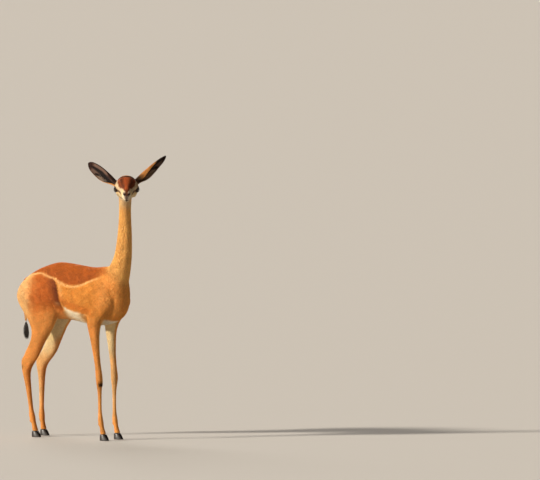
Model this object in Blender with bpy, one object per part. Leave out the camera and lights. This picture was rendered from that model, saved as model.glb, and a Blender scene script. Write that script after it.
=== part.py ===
"""A gerenuk, a long-necked antelope, standing and looking over its right shoulder.

The animal is a hornless, half-grown female, life size. It faces +X, its left side is +Y and it
stands on the plane z = 0. The flesh is modelled whole and then parted with thin cuts into torso,
neck, head, tail and legs. Ears, eyes and hooves are pieces of their own.
Metres throughout.
"""

from math import cos, pi, radians, sin, sqrt

import bmesh
import bpy
import numpy as np
from mathutils import Matrix, Vector

# Driving dimensions, measured from the fore hooves' middle (x = 0) and from the ground.
WITHERS_HEIGHT = 0.745
CROUP_HEIGHT = 0.755
BELLY_HEIGHT = 0.490
BUTTOCK_X = -0.530
BREAST_X = 0.090
HOOF_SPREAD = 0.058  # from the middle plane to the middle of a foot
CORONET_HEIGHT = 0.026
EYES_MIDDLE = Vector((0.1266, -0.0334, 1.084))
HEAD_YAW = radians(-44.5)  # the head looks to the animal's right
HEAD_PITCH = radians(21)  # the muzzle points down by this much
EYE_RADIUS = 0.0148
EAR_LENGTH = 0.175
EAR_WIDTH = 0.056
EAR_WALL = 0.0026
TUFT_LOCKS = 15
TUFT_TOP = 0.494
GAP = 0.0003  # what touching pieces keep between them
FLESH_VOXEL = 0.0026
FLESH_TRIANGLES = 8100

# Each row is height, middle x, half depth, half width and distance from the middle plane.
FORELEG = [
    (0.720, -0.050, 0.028, 0.014, 0.036),
    (0.680, -0.032, 0.048, 0.022, 0.042),
    (0.630, -0.010, 0.064, 0.028, 0.048),
    (0.585, -0.008, 0.066, 0.031, 0.052),
    (0.545, -0.025, 0.055, 0.029, 0.055),
    (0.505, -0.044, 0.040, 0.025, 0.058),
    (0.470, -0.046, 0.029, 0.0205, 0.059),
    (0.430, -0.041, 0.0215, 0.0175, 0.059),
    (0.370, -0.032, 0.0158, 0.0138, 0.059),
    (0.315, -0.022, 0.0138, 0.0124, 0.059),
    (0.285, -0.017, 0.0152, 0.0142, 0.059),
    (0.258, -0.014, 0.0152, 0.0145, 0.059),
    (0.232, -0.014, 0.0120, 0.0112, 0.059),
    (0.195, -0.013, 0.0093, 0.0080, 0.058),
    (0.130, -0.011, 0.0088, 0.0078, 0.058),
    (0.100, -0.009, 0.0110, 0.0098, 0.058),
    (0.083, -0.007, 0.0130, 0.0114, 0.058),
    (0.058, 0.000, 0.0098, 0.0098, 0.058),
    (0.038, 0.006, 0.0118, 0.0120, 0.058),
    (0.020, 0.011, 0.0148, 0.0140, 0.058),
]
HINDLEG = [
    (0.702, -0.392, 0.050, 0.018, 0.034),
    (0.668, -0.404, 0.093, 0.036, 0.042),
    (0.620, -0.400, 0.123, 0.045, 0.048),
    (0.585, -0.392, 0.124, 0.046, 0.051),
    (0.540, -0.376, 0.104, 0.041, 0.053),
    (0.500, -0.368, 0.079, 0.034, 0.054),
    (0.460, -0.371, 0.057, 0.027, 0.055),
    (0.416, -0.392, 0.0420, 0.0210, 0.056),
    (0.370, -0.421, 0.0440, 0.0160, 0.056),
    (0.342, -0.439, 0.0425, 0.0150, 0.056),
    (0.318, -0.455, 0.0370, 0.0158, 0.056),
    (0.295, -0.463, 0.0265, 0.0160, 0.056),
    (0.265, -0.4625, 0.0185, 0.0140, 0.056),
    (0.215, -0.453, 0.0142, 0.0108, 0.056),
    (0.130, -0.438, 0.0112, 0.0092, 0.056),
    (0.104, -0.433, 0.0130, 0.0108, 0.056),
    (0.086, -0.429, 0.0150, 0.0124, 0.056),
    (0.060, -0.420, 0.0108, 0.0104, 0.056),
    (0.038, -0.412, 0.0126, 0.0122, 0.057),
    (0.020, -0.406, 0.0152, 0.0142, 0.058),
]
# How far each leg is swung forward of the rows above, as height and distance.
SWING = {
    "foreleg_right": [(0.0, 0.000), (0.60, 0.000)],
    "foreleg_left": [(0.0, -0.032), (0.25, -0.028), (0.45, -0.018), (0.60, 0.000)],
    "hindleg_right": [(0.0, 0.000), (0.60, 0.000)],
    "hindleg_left": [
        (0.00, -0.072),
        (0.27, -0.022),
        (0.32, -0.024),
        (0.37, -0.014),
        (0.41, -0.017),
        (0.47, -0.031),
        (0.58, 0.000),
    ],
}
SIDES = {"left": 1, "right": -1}


def between(rows, steps):
    """Rows of numbers with more rows put between them along a smooth curve."""
    rows = np.array(rows, float)
    ends = np.vstack([2 * rows[0] - rows[1], rows, 2 * rows[-1] - rows[-2]])
    made = []
    for a, b, c, d in zip(ends, ends[1:], ends[2:], ends[3:]):
        for t in np.arange(steps) / steps:
            made.append(
                b
                + 0.5 * t * (c - a)
                + t * t * (a - 2.5 * b + 2 * c - 0.5 * d)
                + t**3 * (1.5 * (b - c) + 0.5 * (d - a))
            )
    return np.vstack([made, rows[-1]])


def swing_of(leg, height):
    heights, distances = zip(*SWING[leg])
    return float(np.interp(height, heights, distances))


def add_mesh(name, mesh):
    made = bpy.data.objects.new(name, mesh)
    bpy.context.scene.collection.objects.link(made)
    return made


def object_of(name, body):
    """An object from a bmesh, with its faces turned outwards."""
    body.normal_update()
    bmesh.ops.recalc_face_normals(body, faces=body.faces)
    mesh = bpy.data.meshes.new(name)
    body.to_mesh(mesh)
    body.free()
    return add_mesh(name, mesh)


def loft(name, rings):
    """A closed skin over rings of points, with a fan over each end."""
    body = bmesh.new()
    loops = [[body.verts.new(p) for p in ring] for ring in rings]
    for low, high in zip(loops, loops[1:]):
        for i in range(len(low)):
            j = (i + 1) % len(low)
            body.faces.new((low[i], low[j], high[j], high[i]))
    for loop in (loops[0], loops[-1]):
        middle = body.verts.new(sum((v.co for v in loop), Vector()) / len(loop))
        for i in range(len(loop)):
            body.faces.new((loop[i], loop[(i + 1) % len(loop)], middle))
    return object_of(name, body)


def oval(centre, across, along, half_across, half_high, half_low, power=2.0, sides=28):
    """An oval ring. A power over 2 makes it squarer. half_high and half_low are its reaches along."""
    points = []
    for i in range(sides):
        angle = 2 * pi * i / sides
        x, y = cos(angle), sin(angle)
        grown = (abs(x) ** power + abs(y) ** power) ** (-1 / power)
        reach = half_high if y > 0 else half_low
        points.append(centre + across * (x * grown * half_across) + along * (y * grown * reach))
    return points


def applied(piece):
    """The piece with its modifiers applied to its mesh."""
    bpy.context.view_layer.update()
    graph = bpy.context.evaluated_depsgraph_get()
    mesh = bpy.data.meshes.new_from_object(piece.evaluated_get(graph), depsgraph=graph)
    piece.modifiers.clear()
    piece.data = mesh
    return piece


def discard(pieces):
    for piece in pieces:
        bpy.data.objects.remove(piece)


def combine(piece, others, operation, solver="EXACT"):
    """The Boolean of a piece with others, which are then removed."""
    group = bpy.data.collections.new("operands")
    bpy.context.scene.collection.children.link(group)
    for other in others:
        group.objects.link(other)
    modifier = piece.modifiers.new("combine", "BOOLEAN")
    modifier.operation = operation
    modifier.operand_type = "COLLECTION"
    modifier.collection = group
    modifier.solver = solver
    applied(piece)
    discard(others)
    bpy.data.collections.remove(group)
    return piece


def copy_of(piece, name):
    return add_mesh(name, piece.data.copy())


def grown(piece, distance):
    """A copy of the piece, grown outwards by a distance."""
    made = copy_of(piece, piece.name + "_grown")
    swell = made.modifiers.new("swell", "DISPLACE")
    swell.strength = distance
    swell.mid_level = 0.0
    return applied(made)


def keep_largest(piece):
    """Drops every closed surface of the piece but the largest."""
    body = bmesh.new()
    body.from_mesh(piece.data)
    left = set(body.verts)
    shells = []
    while left:
        shell, front = set(), [left.pop()]
        while front:
            vertex = front.pop()
            shell.add(vertex)
            for edge in vertex.link_edges:
                other = edge.other_vert(vertex)
                if other in left:
                    left.remove(other)
                    front.append(other)
        shells.append(shell)
    largest = max(shells, key=lambda s: max(v.co.z for v in s) - min(v.co.z for v in s))
    bmesh.ops.delete(body, geom=[v for v in body.verts if v not in largest], context="VERTS")
    body.to_mesh(piece.data)
    body.free()
    return piece


def material(name, colour, roughness):
    made = bpy.data.materials.new(name)
    made.use_nodes = True
    shader = made.node_tree.nodes["Principled BSDF"]
    shader.inputs["Base Color"].default_value = (*colour, 1)
    shader.inputs["Roughness"].default_value = roughness
    return made


def finish(piece, name, look):
    """Names a piece, gives it its material and shades it smooth."""
    piece.name = name
    piece.data.name = name
    piece.data.materials.clear()
    piece.data.materials.append(look)
    piece.data.shade_smooth()
    piece.data.set_sharp_from_angle(angle=radians(50))
    return piece


def trunk():
    """Rump, belly, ribs and breast: rings across the body from tail to breast."""
    # x, height of the back, height of the belly, half width
    rows = [
        (BUTTOCK_X, 0.640, 0.604, 0.010),
        (BUTTOCK_X + 0.006, 0.661, 0.578, 0.028),
        (BUTTOCK_X + 0.022, 0.682, 0.556, 0.045),
        (-0.475, 0.703, 0.537, 0.061),
        (-0.420, 0.727, 0.522, 0.075),
        (-0.360, 0.745, 0.513, 0.081),
        (-0.310, CROUP_HEIGHT, 0.509, 0.082),
        (-0.250, 0.752, 0.510, 0.084),
        (-0.180, 0.745, 0.502, 0.092),
        (-0.110, 0.739, BELLY_HEIGHT + 0.001, 0.092),
        (-0.050, WITHERS_HEIGHT - 0.003, BELLY_HEIGHT, 0.082),
        (0.000, WITHERS_HEIGHT + 0.003, BELLY_HEIGHT + 0.008, 0.070),
        (0.045, WITHERS_HEIGHT, 0.516, 0.056),
        (0.075, 0.715, 0.540, 0.040),
        (BREAST_X, 0.680, 0.575, 0.020),
    ]
    across, up = Vector((0, 1, 0)), Vector((0, 0, 1))
    rings = []
    for x, back, belly, half_width in between(rows, 3):
        widest = belly + 0.46 * (back - belly)
        rings.append(
            oval(Vector((x, 0, widest)), across, up, half_width, back - widest, widest - belly, 2.15)
        )
    return loft("trunk", rings)


def neck_core():
    """The neck: level rings from inside the breast up into the back of the skull."""
    # height, middle x, half depth, half width
    rows = [
        (0.600, -0.005, 0.080, 0.040),
        (0.660, 0.010, 0.078, 0.046),
        (0.710, 0.034, 0.066, 0.044),
        (0.750, 0.055, 0.0525, 0.038),
        (0.794, 0.071, 0.0430, 0.0325),
        (0.850, 0.079, 0.0375, 0.0285),
        (0.910, 0.083, 0.0330, 0.0262),
        (0.970, 0.086, 0.0305, 0.0252),
        (1.020, 0.089, 0.0310, 0.0265),
        (1.060, 0.093, 0.0320, 0.0285),
        (1.090, 0.097, 0.0260, 0.0270),
    ]
    across, along = Vector((0, 1, 0)), Vector((1, 0, 0))
    rings = []
    for height, x, half_depth, half_width in between(rows, 3):
        # The top of the neck turns with the head.
        turned = min(max((height - 0.90) / 0.15, 0), 1)
        turn = Matrix.Rotation(HEAD_YAW * turned, 3, "Z")
        centre = Vector((x, -0.006 * turned, height))
        rings.append(oval(centre, turn @ across, turn @ along, half_width, half_depth, half_depth, 2.1))
    return loft("neck_core", rings)


HEAD_TURN = Matrix.Rotation(HEAD_YAW, 4, "Z") @ Matrix.Rotation(HEAD_PITCH, 4, "Y")
HEAD_PLACE = Matrix.Translation(EYES_MIDDLE) @ HEAD_TURN


def on_head(x, y, z):
    """A point given forward, left and up from the middle of the eyes, in the head's own lie."""
    return HEAD_PLACE @ Vector((x, y, z))


def head_way(x, y, z):
    return (HEAD_TURN.to_3x3() @ Vector((x, y, z))).normalized()


def skull():
    """The head: rings across it from the poll to the nose."""
    # distance forward of the eyes, top, underside, half width, height of the widest place
    rows = [
        (-0.080, 0.014, -0.016, 0.016, 0.000),
        (-0.070, 0.029, -0.030, 0.029, 0.000),
        (-0.054, 0.039, -0.038, 0.0385, 0.002),
        (-0.034, 0.0435, -0.045, 0.0445, 0.003),
        (-0.014, 0.0440, -0.048, 0.0475, 0.003),
        (0.004, 0.0422, -0.0445, 0.0465, 0.002),
        (0.020, 0.0395, -0.0380, 0.0385, 0.001),
        (0.040, 0.0370, -0.0310, 0.0295, 0.001),
        (0.060, 0.0355, -0.0252, 0.0236, 0.003),
        (0.080, 0.0340, -0.0212, 0.0202, 0.006),
        (0.096, 0.0320, -0.0182, 0.0184, 0.008),
        (0.108, 0.0285, -0.0140, 0.0166, 0.010),
        (0.116, 0.0225, -0.0070, 0.0125, 0.010),
        (0.119, 0.0150, 0.0010, 0.0050, 0.009),
    ]
    across, up = head_way(0, 1, 0), head_way(0, 0, 1)
    rings = []
    for x, top, under, half_width, widest in between(rows, 3):
        rings.append(
            oval(on_head(x, 0, widest), across, up, half_width, top - widest, widest - under, 2.25)
        )
    return loft("skull", rings)


def ellipsoid(name, centre, half_sizes, turn, rows=12):
    body = bmesh.new()
    place = Matrix.Translation(centre) @ turn @ Matrix.Diagonal((*half_sizes, 1))
    sides = rows * 5 // 3
    bmesh.ops.create_uvsphere(body, u_segments=sides, v_segments=rows, radius=1, matrix=place)
    return object_of(name, body)


def head_masses():
    """What swells the head beside its plain rings: brows, cheeks, lips, chin and nose."""
    made = []
    for side in SIDES.values():
        made += [
            ellipsoid("brow", on_head(-0.004, 0.0375 * side, 0.0120), (0.0270, 0.0135, 0.0120), HEAD_TURN),
            ellipsoid("under_eye", on_head(-0.004, 0.0365 * side, -0.0120), (0.0280, 0.0130, 0.0125), HEAD_TURN),
            ellipsoid("cheek", on_head(-0.012, 0.0300 * side, -0.0235), (0.0300, 0.0140, 0.0190), HEAD_TURN),
            ellipsoid("lip", on_head(0.095, 0.0085 * side, 0.0060), (0.020, 0.0110, 0.0115), HEAD_TURN),
            ellipsoid("nostril_wing", on_head(0.105, 0.0085 * side, 0.0225), (0.0125, 0.0070, 0.0075), HEAD_TURN),
        ]
    made.append(ellipsoid("chin", on_head(0.096, 0, -0.0105), (0.0165, 0.0118, 0.0092), HEAD_TURN))
    return made


def leg_core(name, rows, side):
    across, along = Vector((0, 1, 0)), Vector((1, 0, 0))
    rings = []
    for height, x, half_depth, half_width, out in between(rows, 3):
        centre = Vector((x + swing_of(name, height), out * side, height))
        rings.append(oval(centre, across, along, half_width, half_depth, half_depth, 2.1, 24))
    return loft(name, rings)


def leg_masses(name, side):
    """The point of the hock, and the two dew claws behind each fetlock."""
    rows = FORELEG if "fore" in name else HINDLEG
    heights, middles, depths = [[row[i] for row in rows][::-1] for i in range(3)]
    made = []
    if "hind" in name:
        point = Vector((-0.480 + swing_of(name, 0.328), 0.056 * side, 0.328))
        tilt = Matrix.Rotation(radians(24), 4, "Y")
        made.append(ellipsoid("hock_point", point, (0.0120, 0.0098, 0.0190), tilt))
    height = 0.068
    back = float(np.interp(height, heights, middles) - np.interp(height, heights, depths))
    for apart in (-1, 1):
        place = back + 0.0025 + swing_of(name, height)
        claw = Vector((place, HOOF_SPREAD * side + 0.0072 * apart, height))
        tilt = Matrix.Rotation(radians(-28), 4, "Y")
        made.append(ellipsoid("dew_claw", claw, (0.0048, 0.0046, 0.0080), tilt))
    return made


def tail_core():
    """The tail's flesh, bowed out from the rump and hanging between the thighs."""
    # x, height, half thickness
    rows = [
        (-0.480, 0.682, 0.0130),
        (-0.514, 0.674, 0.0105),
        (-0.535, 0.657, 0.0085),
        (-0.5435, 0.632, 0.0072),
        (-0.5440, 0.600, 0.0062),
        (-0.5360, 0.560, 0.0054),
        (-0.5285, 0.520, 0.0046),
        (-0.5235, 0.484, 0.0036),
        (-0.5205, 0.458, 0.0022),
    ]
    points = between(rows, 2)
    rings = []
    for i, (x, z, half) in enumerate(points):
        before, after = points[max(i - 1, 0)], points[min(i + 1, len(points) - 1)]
        along = Vector((after[0] - before[0], 0, after[1] - before[1])).normalized()
        across = Vector((0, 1, 0))
        rings.append(oval(Vector((x, 0, z)), across, across.cross(along), half * 1.25, half, half, 2, 12))
    return loft("tail_core", rings)


def flesh():
    """The whole animal but ears, eyes and hooves, fused and smoothed, as one closed skin."""
    pieces = [trunk(), neck_core(), skull(), *head_masses()]
    for side_name, side in SIDES.items():
        for kind, rows in (("foreleg_", FORELEG), ("hindleg_", HINDLEG)):
            pieces.append(leg_core(kind + side_name, rows, side))
            pieces += leg_masses(kind + side_name, side)
    body = bmesh.new()
    for piece in pieces:
        body.from_mesh(piece.data)
    discard(pieces)
    made = object_of("flesh", body)
    fuse = made.modifiers.new("fuse", "REMESH")
    fuse.mode = "VOXEL"
    fuse.voxel_size = FLESH_VOXEL
    soften = made.modifiers.new("soften", "SMOOTH")
    soften.factor = 0.5
    soften.iterations = 8
    applied(made)
    blend_joins(made)
    thin = made.modifiers.new("thin", "DECIMATE")
    thin.ratio = FLESH_TRIANGLES / (2 * len(made.data.polygons))
    return keep_largest(applied(made))


def blend_joins(body):
    """Softens the flesh more where the legs, the neck and the tail leave the trunk."""
    group = body.vertex_groups.new(name="joins")
    # centre and reach of each stretch that is blended
    places = [
        (Vector((0.03, 0, 0.72)), 0.10),
        (Vector((-0.02, 0.07, 0.53)), 0.09),
        (Vector((-0.02, -0.07, 0.53)), 0.09),
        (Vector((-0.30, 0.07, 0.60)), 0.12),
        (Vector((-0.30, -0.07, 0.60)), 0.12),
        (Vector((-0.46, 0.06, 0.63)), 0.10),
        (Vector((-0.46, -0.06, 0.63)), 0.10),
        (Vector((-0.03, 0.06, 0.68)), 0.07),
        (Vector((-0.03, -0.06, 0.68)), 0.07),
        (on_head(0.0, 0.040, -0.014), 0.030),
        (on_head(0.0, -0.040, -0.014), 0.030),
        (on_head(-0.02, 0.034, 0.022), 0.024),
        (on_head(-0.02, -0.034, 0.022), 0.024),
    ]
    points = np.array([v.co for v in body.data.vertices])
    weights = np.zeros(len(points))
    for centre, reach in places:
        distances = np.linalg.norm(points - np.array(centre), axis=1)
        weights = np.maximum(weights, np.clip(1.6 * (1 - distances / reach), 0, 1))
    for i in np.flatnonzero(weights > 0.01):
        group.add([int(i)], float(weights[i]), "REPLACE")
    soften = body.modifiers.new("blend", "SMOOTH")
    soften.vertex_group = group.name
    soften.factor = 0.5
    soften.iterations = 40
    applied(body)


def slab(name, corner_low, corner_high, shear=None):
    """A box between two corners, which a function may then bend."""
    body = bmesh.new()
    bmesh.ops.create_cube(body, size=1)
    low, high = Vector(corner_low), Vector(corner_high)
    for vertex in body.verts:
        share = vertex.co + Vector((0.5, 0.5, 0.5))
        vertex.co = Vector(low[i] + share[i] * (high[i] - low[i]) for i in range(3))
        if shear:
            vertex.co = shear(vertex.co)
    return object_of(name, body)


def half_space(name, point, normal):
    """A large box on the side of a plane that its normal points to."""
    reach = 0.8
    turn = Vector(normal).to_track_quat("Z", "Y").to_matrix().to_4x4()
    body = bmesh.new()
    place = Matrix.Translation(point) @ turn @ Matrix.Translation((0, 0, reach))
    bmesh.ops.create_cube(body, size=2 * reach, matrix=place)
    return object_of(name, body)


def part_by_plane(whole, name, point, normal):
    """Cuts off what lies on the normal's side, and returns it. A gap is left along the cut."""
    normal = Vector(normal).normalized()
    cut_off = copy_of(whole, name)
    combine(cut_off, [half_space("cutter", Vector(point) + normal * GAP / 2, normal)], "INTERSECT")
    combine(whole, [half_space("cutter", Vector(point) - normal * GAP / 2, normal)], "DIFFERENCE")
    keep_largest(whole)
    return keep_largest(cut_off)


def leg_block(front, back, inner, outer, low_in, low_out, side, grow):
    """The wedge-topped block that holds one leg. Its top rises from the groin outwards."""

    def shear(co):
        share = (abs(co.y) - inner) / (outer - inner)
        if co.z > 0:
            co.z = low_in + share * (low_out - low_in) + grow
        return co

    corners = (back - grow, (inner - grow) * side, -0.05), (front + grow, (outer + grow) * side, 0.1)
    return slab("leg_block", *corners, shear)


def part_leg(whole, name, side, sizes):
    leg = copy_of(whole, name)
    combine(leg, [leg_block(*sizes, side, 0)], "INTERSECT")
    combine(whole, [leg_block(*sizes, side, GAP)], "DIFFERENCE")
    keep_largest(whole)
    return keep_largest(leg)


def eye_middle(side):
    return on_head(0.001, 0.0388 * side, 0.0)


def lids(side):
    """A shell round the eyeball with an almond opening between upper and lower lid."""
    shell = ellipsoid("lids", eye_middle(side), (EYE_RADIUS + 0.0020,) * 3, HEAD_TURN)
    opening = []
    out = head_way(0.46, 0.88 * side, 0.06)
    along = head_way(0.86, -0.45 * side, -0.22)
    up = out.cross(along) * side
    for depth in (0.004, 0.030):
        ring = []
        for i in range(20):
            angle = 2 * pi * i / 20
            lift = sin(angle) * (0.0098 if sin(angle) > 0 else 0.0082)
            ring.append(
                eye_middle(side) + out * depth + along * (0.0132 * cos(angle)) + up * lift * sqrt(abs(sin(angle)))
            )
        opening.append(ring)
    return shell, loft("lid_opening", opening)


def face(head):
    """Sinks eye sockets, nostrils and the line of the mouth into the head, and adds the lids."""
    shells, openings = zip(*(lids(side) for side in SIDES.values()))
    balls = [eyeball("socket", side, GAP) for side in SIDES.values()]
    combine(head, list(shells), "UNION")
    combine(head, list(openings) + balls, "DIFFERENCE")
    cuts = []
    for side in SIDES.values():
        cuts.append(
            ellipsoid(
                "nostril",
                on_head(0.1140, 0.0088 * side, 0.0225),
                (0.0075, 0.0017, 0.0036),
                HEAD_TURN @ Matrix.Rotation(radians(-24) * side, 4, "Z") @ Matrix.Rotation(radians(32) * side, 4, "X"),
            )
        )
    cuts.append(mouth_cutter())
    combine(head, cuts, "DIFFERENCE")
    return keep_largest(head)


def mouth_cutter():
    """A thin level blade round the front of the muzzle that cuts the line of the mouth."""
    body = bmesh.new()
    steps = 14
    inner, outer = [], []
    for i in range(steps + 1):
        # from the left corner of the mouth, round the nose end, to the right corner
        angle = pi * i / steps
        side = cos(angle)
        forward = 0.062 + 0.052 * sin(angle) ** 0.62
        height = -0.0058 - 0.0040 * (1 - sin(angle))
        half = 0.0190 - 0.0015 * sin(angle)
        inner.append(on_head(forward - 0.0045, side * (half - 0.0042), height))
        outer.append(on_head(forward + 0.0100, side * (half + 0.0080), height))
    up = head_way(0, 0, 1) * 0.0006
    rows = [[body.verts.new(p + lift) for p in line] for line in (inner, outer) for lift in (up, -up)]
    inner_up, inner_down, outer_up, outer_down = rows
    for i in range(steps):
        for a, b in (
            (inner_up, outer_up),
            (outer_up, outer_down),
            (outer_down, inner_down),
            (inner_down, inner_up),
        ):
            body.faces.new((a[i], a[i + 1], b[i + 1], b[i]))
    for end in (0, steps):
        body.faces.new((inner_up[end], outer_up[end], outer_down[end], inner_down[end]))
    return object_of("mouth_cutter", body)


def eyeball(name, side, grow=0.0):
    return ellipsoid(name, eye_middle(side), (EYE_RADIUS + grow,) * 3, HEAD_TURN, 10)


# For each ear: where its root sits from the middle of the eyes, which way it points, and which
# way its cup opens. All are forward, left and up as the face is seen from the front.
EAR_ROOTS = {"left": (-0.042, 0.041, 0.026), "right": (-0.042, -0.0435, 0.018)}
EAR_POINTS = {"left": (-0.20, 0.74, 0.645), "right": (-0.52, -0.70, 0.50)}
EAR_OPENS = {"left": (0.50, 0.66, -0.56), "right": (0.80, -0.60, 0.00)}
FACE_TURN = Matrix.Rotation(HEAD_YAW, 3, "Z")


def ear(side_name):
    """A long leaf-shaped cup, rolled shut at its root."""
    root = EYES_MIDDLE + FACE_TURN @ Vector(EAR_ROOTS[side_name])
    point = (FACE_TURN @ Vector(EAR_POINTS[side_name])).normalized()
    opening = FACE_TURN @ Vector(EAR_OPENS[side_name])
    opening = (opening - point * opening.dot(point)).normalized()
    across = point.cross(opening)
    # share of the length, half width, half angle that the wall wraps, depth of its back
    rows = [
        (-0.10, 0.44, 172, 0.0120),
        (0.00, 0.46, 170, 0.0125),
        (0.08, 0.50, 160, 0.0130),
        (0.17, 0.62, 138, 0.0135),
        (0.28, 0.80, 112, 0.0130),
        (0.42, 0.96, 88, 0.0120),
        (0.56, 1.00, 72, 0.0110),
        (0.70, 0.92, 62, 0.0090),
        (0.83, 0.77, 54, 0.0062),
        (0.93, 0.50, 48, 0.0034),
        (0.985, 0.20, 45, 0.0014),
        (1.00, 0.05, 44, 0.0010),
    ]
    body = bmesh.new()
    sides = 8
    back, front = [], []
    for share, half, wrap, depth in between(rows, 2):
        share = min(share, 1.0)
        wrap = radians(wrap)
        width = half * EAR_WIDTH / 2
        radius = width / (sin(wrap) if wrap < pi / 2 else 1)
        centre = root + point * (share * EAR_LENGTH) + opening * (radius - depth)
        wall = EAR_WALL * min(1.0, 0.45 + 1.2 * (1 - share))
        for line, size in ((back, radius), (front, max(radius - wall, radius * 0.35))):
            ring = []
            for i in range(sides + 1):
                angle = wrap * (2 * i / sides - 1)
                ring.append(body.verts.new(centre + across * (size * sin(angle)) - opening * (size * cos(angle))))
            line.append(ring)
    for rows_of, flip in ((back, False), (front, True)):
        for low, high in zip(rows_of, rows_of[1:]):
            for i in range(sides):
                body.faces.new((low[i], low[i + 1], high[i + 1], high[i]))
    for j in range(len(back) - 1):
        for i in (0, sides):
            body.faces.new((back[j][i], back[j + 1][i], front[j + 1][i], front[j][i]))
    for j in (0, len(back) - 1):
        for i in range(sides):
            body.faces.new((back[j][i], back[j][i + 1], front[j][i + 1], front[j][i]))
    return object_of("ear_" + side_name, body)


def hoof(name, leg, foot, side, inner):
    """One claw of a cloven hoof: a pointed sole, a sloping front wall and a level top."""
    rows = FORELEG if "fore" in leg else HINDLEG
    heights, middles = [r[0] for r in rows][::-1], [r[1] for r in rows][::-1]
    top_x = float(np.interp(CORONET_HEIGHT, heights, middles)) + swing_of(leg, CORONET_HEIGHT)
    half_gap = 0.0009
    rings = []
    # share of the height, how far the toe reaches forward, the heel back, and the width
    for share, toe, heel, width in (
        (1.0, 0.0130, 0.0128, 0.0112),
        (0.85, 0.0165, 0.0130, 0.0128),
        (0.45, 0.0245, 0.0128, 0.0140),
        (0.10, 0.0310, 0.0120, 0.0146),
        (0.0, 0.0315, 0.0112, 0.0142),
    ):
        ring = []
        steps = 12
        for i in range(steps):
            angle = 2 * pi * i / steps
            reach = toe if cos(angle) > 0 else heel
            x = top_x + reach * cos(angle)
            # The inner wall is flat and the outer wall is bowed, and both meet in a point at the toe.
            narrow = 1 - 0.55 * max(cos(angle), 0) ** 2 * (1 - 0.6 * share)
            bow = (0.5 - 0.5 * sin(angle)) if inner else (0.5 + 0.5 * sin(angle))
            y = half_gap + width * (bow * narrow if abs(cos(angle)) < 0.99 else 0.32 * narrow)
            y_side = y if not inner else -(half_gap + width * (1 - bow) * narrow)
            ring.append(Vector((x, HOOF_SPREAD * side + y_side * side, share * (CORONET_HEIGHT - GAP))))
        rings.append(ring)
    return loft(name, rings)


def lock(root, way, flat, droop, length, width, thickness):
    """One tapered, flattened lock of hair that bends as it grows. flat is where its broad side faces."""
    rings = []
    steps = 4
    for i in range(steps + 1):
        share = i / steps
        centre = root + way * (share * length) + droop * (share * share * length)
        along = (way + droop * (2 * share)).normalized()
        across = along.cross(flat).normalized()
        body = (0.62 + 1.5 * share) * (1 - share) ** 0.85 if share < 1 else 0.0
        half = max(width * body / 2, 0.0004)
        thin = max(thickness * (1 - 0.75 * share) / 2, 0.0003)
        rings.append(oval(centre, across, across.cross(along), half, thin, thin, 2, 4))
    return loft("lock", rings)


def tuft_locks():
    """The black tuft: long locks rooted round the last stretch of the tail."""
    chance = np.random.default_rng(11)
    down = Vector((0.16, 0, -1)).normalized()
    made = []
    for i in range(TUFT_LOCKS):
        share = i / (TUFT_LOCKS - 1)
        height = TUFT_TOP - 0.004 - 0.039 * share
        angle = i * 2.4 + chance.uniform(-0.3, 0.3)
        out = Vector((cos(angle), sin(angle), 0))
        middle = Vector((float(np.interp(height, (0.455, 0.53), (-0.520, -0.530))), 0, height))
        spread = 0.66 - 0.22 * share + chance.uniform(-0.05, 0.05)
        made.append(
            lock(
                middle + out * 0.0022,
                (down + out * spread).normalized(),
                out,
                (down * 0.12 - out * (spread * 0.66)),
                (0.056 - 0.022 * share) * chance.uniform(0.86, 1.06),
                0.0125 * chance.uniform(0.88, 1.15),
                0.0034,
            )
        )
    return made


def build():
    for old in list(bpy.data.objects):
        bpy.data.objects.remove(old)
    coat = material("coat", (0.62, 0.30, 0.11), 0.75)
    horn = material("hoof_horn", (0.05, 0.035, 0.03), 0.45)
    eye = material("eye", (0.012, 0.008, 0.006), 0.08)
    black = material("tuft_hair", (0.012, 0.009, 0.008), 0.6)

    whole = flesh()
    neck = part_by_plane(whole, "neck", (0.030, 0, 0.715), (0.58, 0, 0.81))
    head = part_by_plane(neck, "head", (0.098, -0.010, 1.052), (0.60, -0.52, 0.61))
    face(head)
    made = [finish(neck, "neck", coat), finish(head, "head", coat)]
    for side_name, side in SIDES.items():
        sizes = {
            "foreleg": (0.075, -0.105, 0.020, 0.110, 0.478, 0.585),
            "hindleg": (-0.215, -0.60, 0.0015, 0.120, 0.500, 0.640),
        }
        for kind, block in sizes.items():
            name = kind + "_" + side_name
            leg = part_leg(whole, name, side, block)
            below = half_space("cutter", Vector((0, 0, CORONET_HEIGHT)), Vector((0, 0, -1)))
            combine(leg, [below], "DIFFERENCE")
            made.append(finish(keep_largest(leg), name, coat))
            for inner in (False, True):
                claw = "_inner" if inner else "_outer"
                hoof_name = name.replace("leg", "hoof") + claw
                made.append(finish(hoof(hoof_name, name, name, side, inner), hoof_name, horn))
    for side_name in SIDES:
        cup = ear(side_name)
        combine(cup, [grown(head, GAP)], "DIFFERENCE")
        made.append(finish(keep_largest(cup), "ear_" + side_name, coat))
        made.append(finish(eyeball("eye_" + side_name, SIDES[side_name]), "eye_" + side_name, eye))
    tail = combine(tail_core(), [grown(whole, GAP)], "DIFFERENCE")
    tuft = part_by_plane(keep_largest(tail), "tail_tuft", (-0.5255, 0, TUFT_TOP), (0.21, 0, -1))
    combine(tuft, tuft_locks(), "UNION")
    made.append(finish(keep_largest(tuft), "tail_tuft", black))
    made.append(finish(tail, "tail", coat))
    made.append(finish(whole, "torso", coat))
    centre_on_floor(made)


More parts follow.
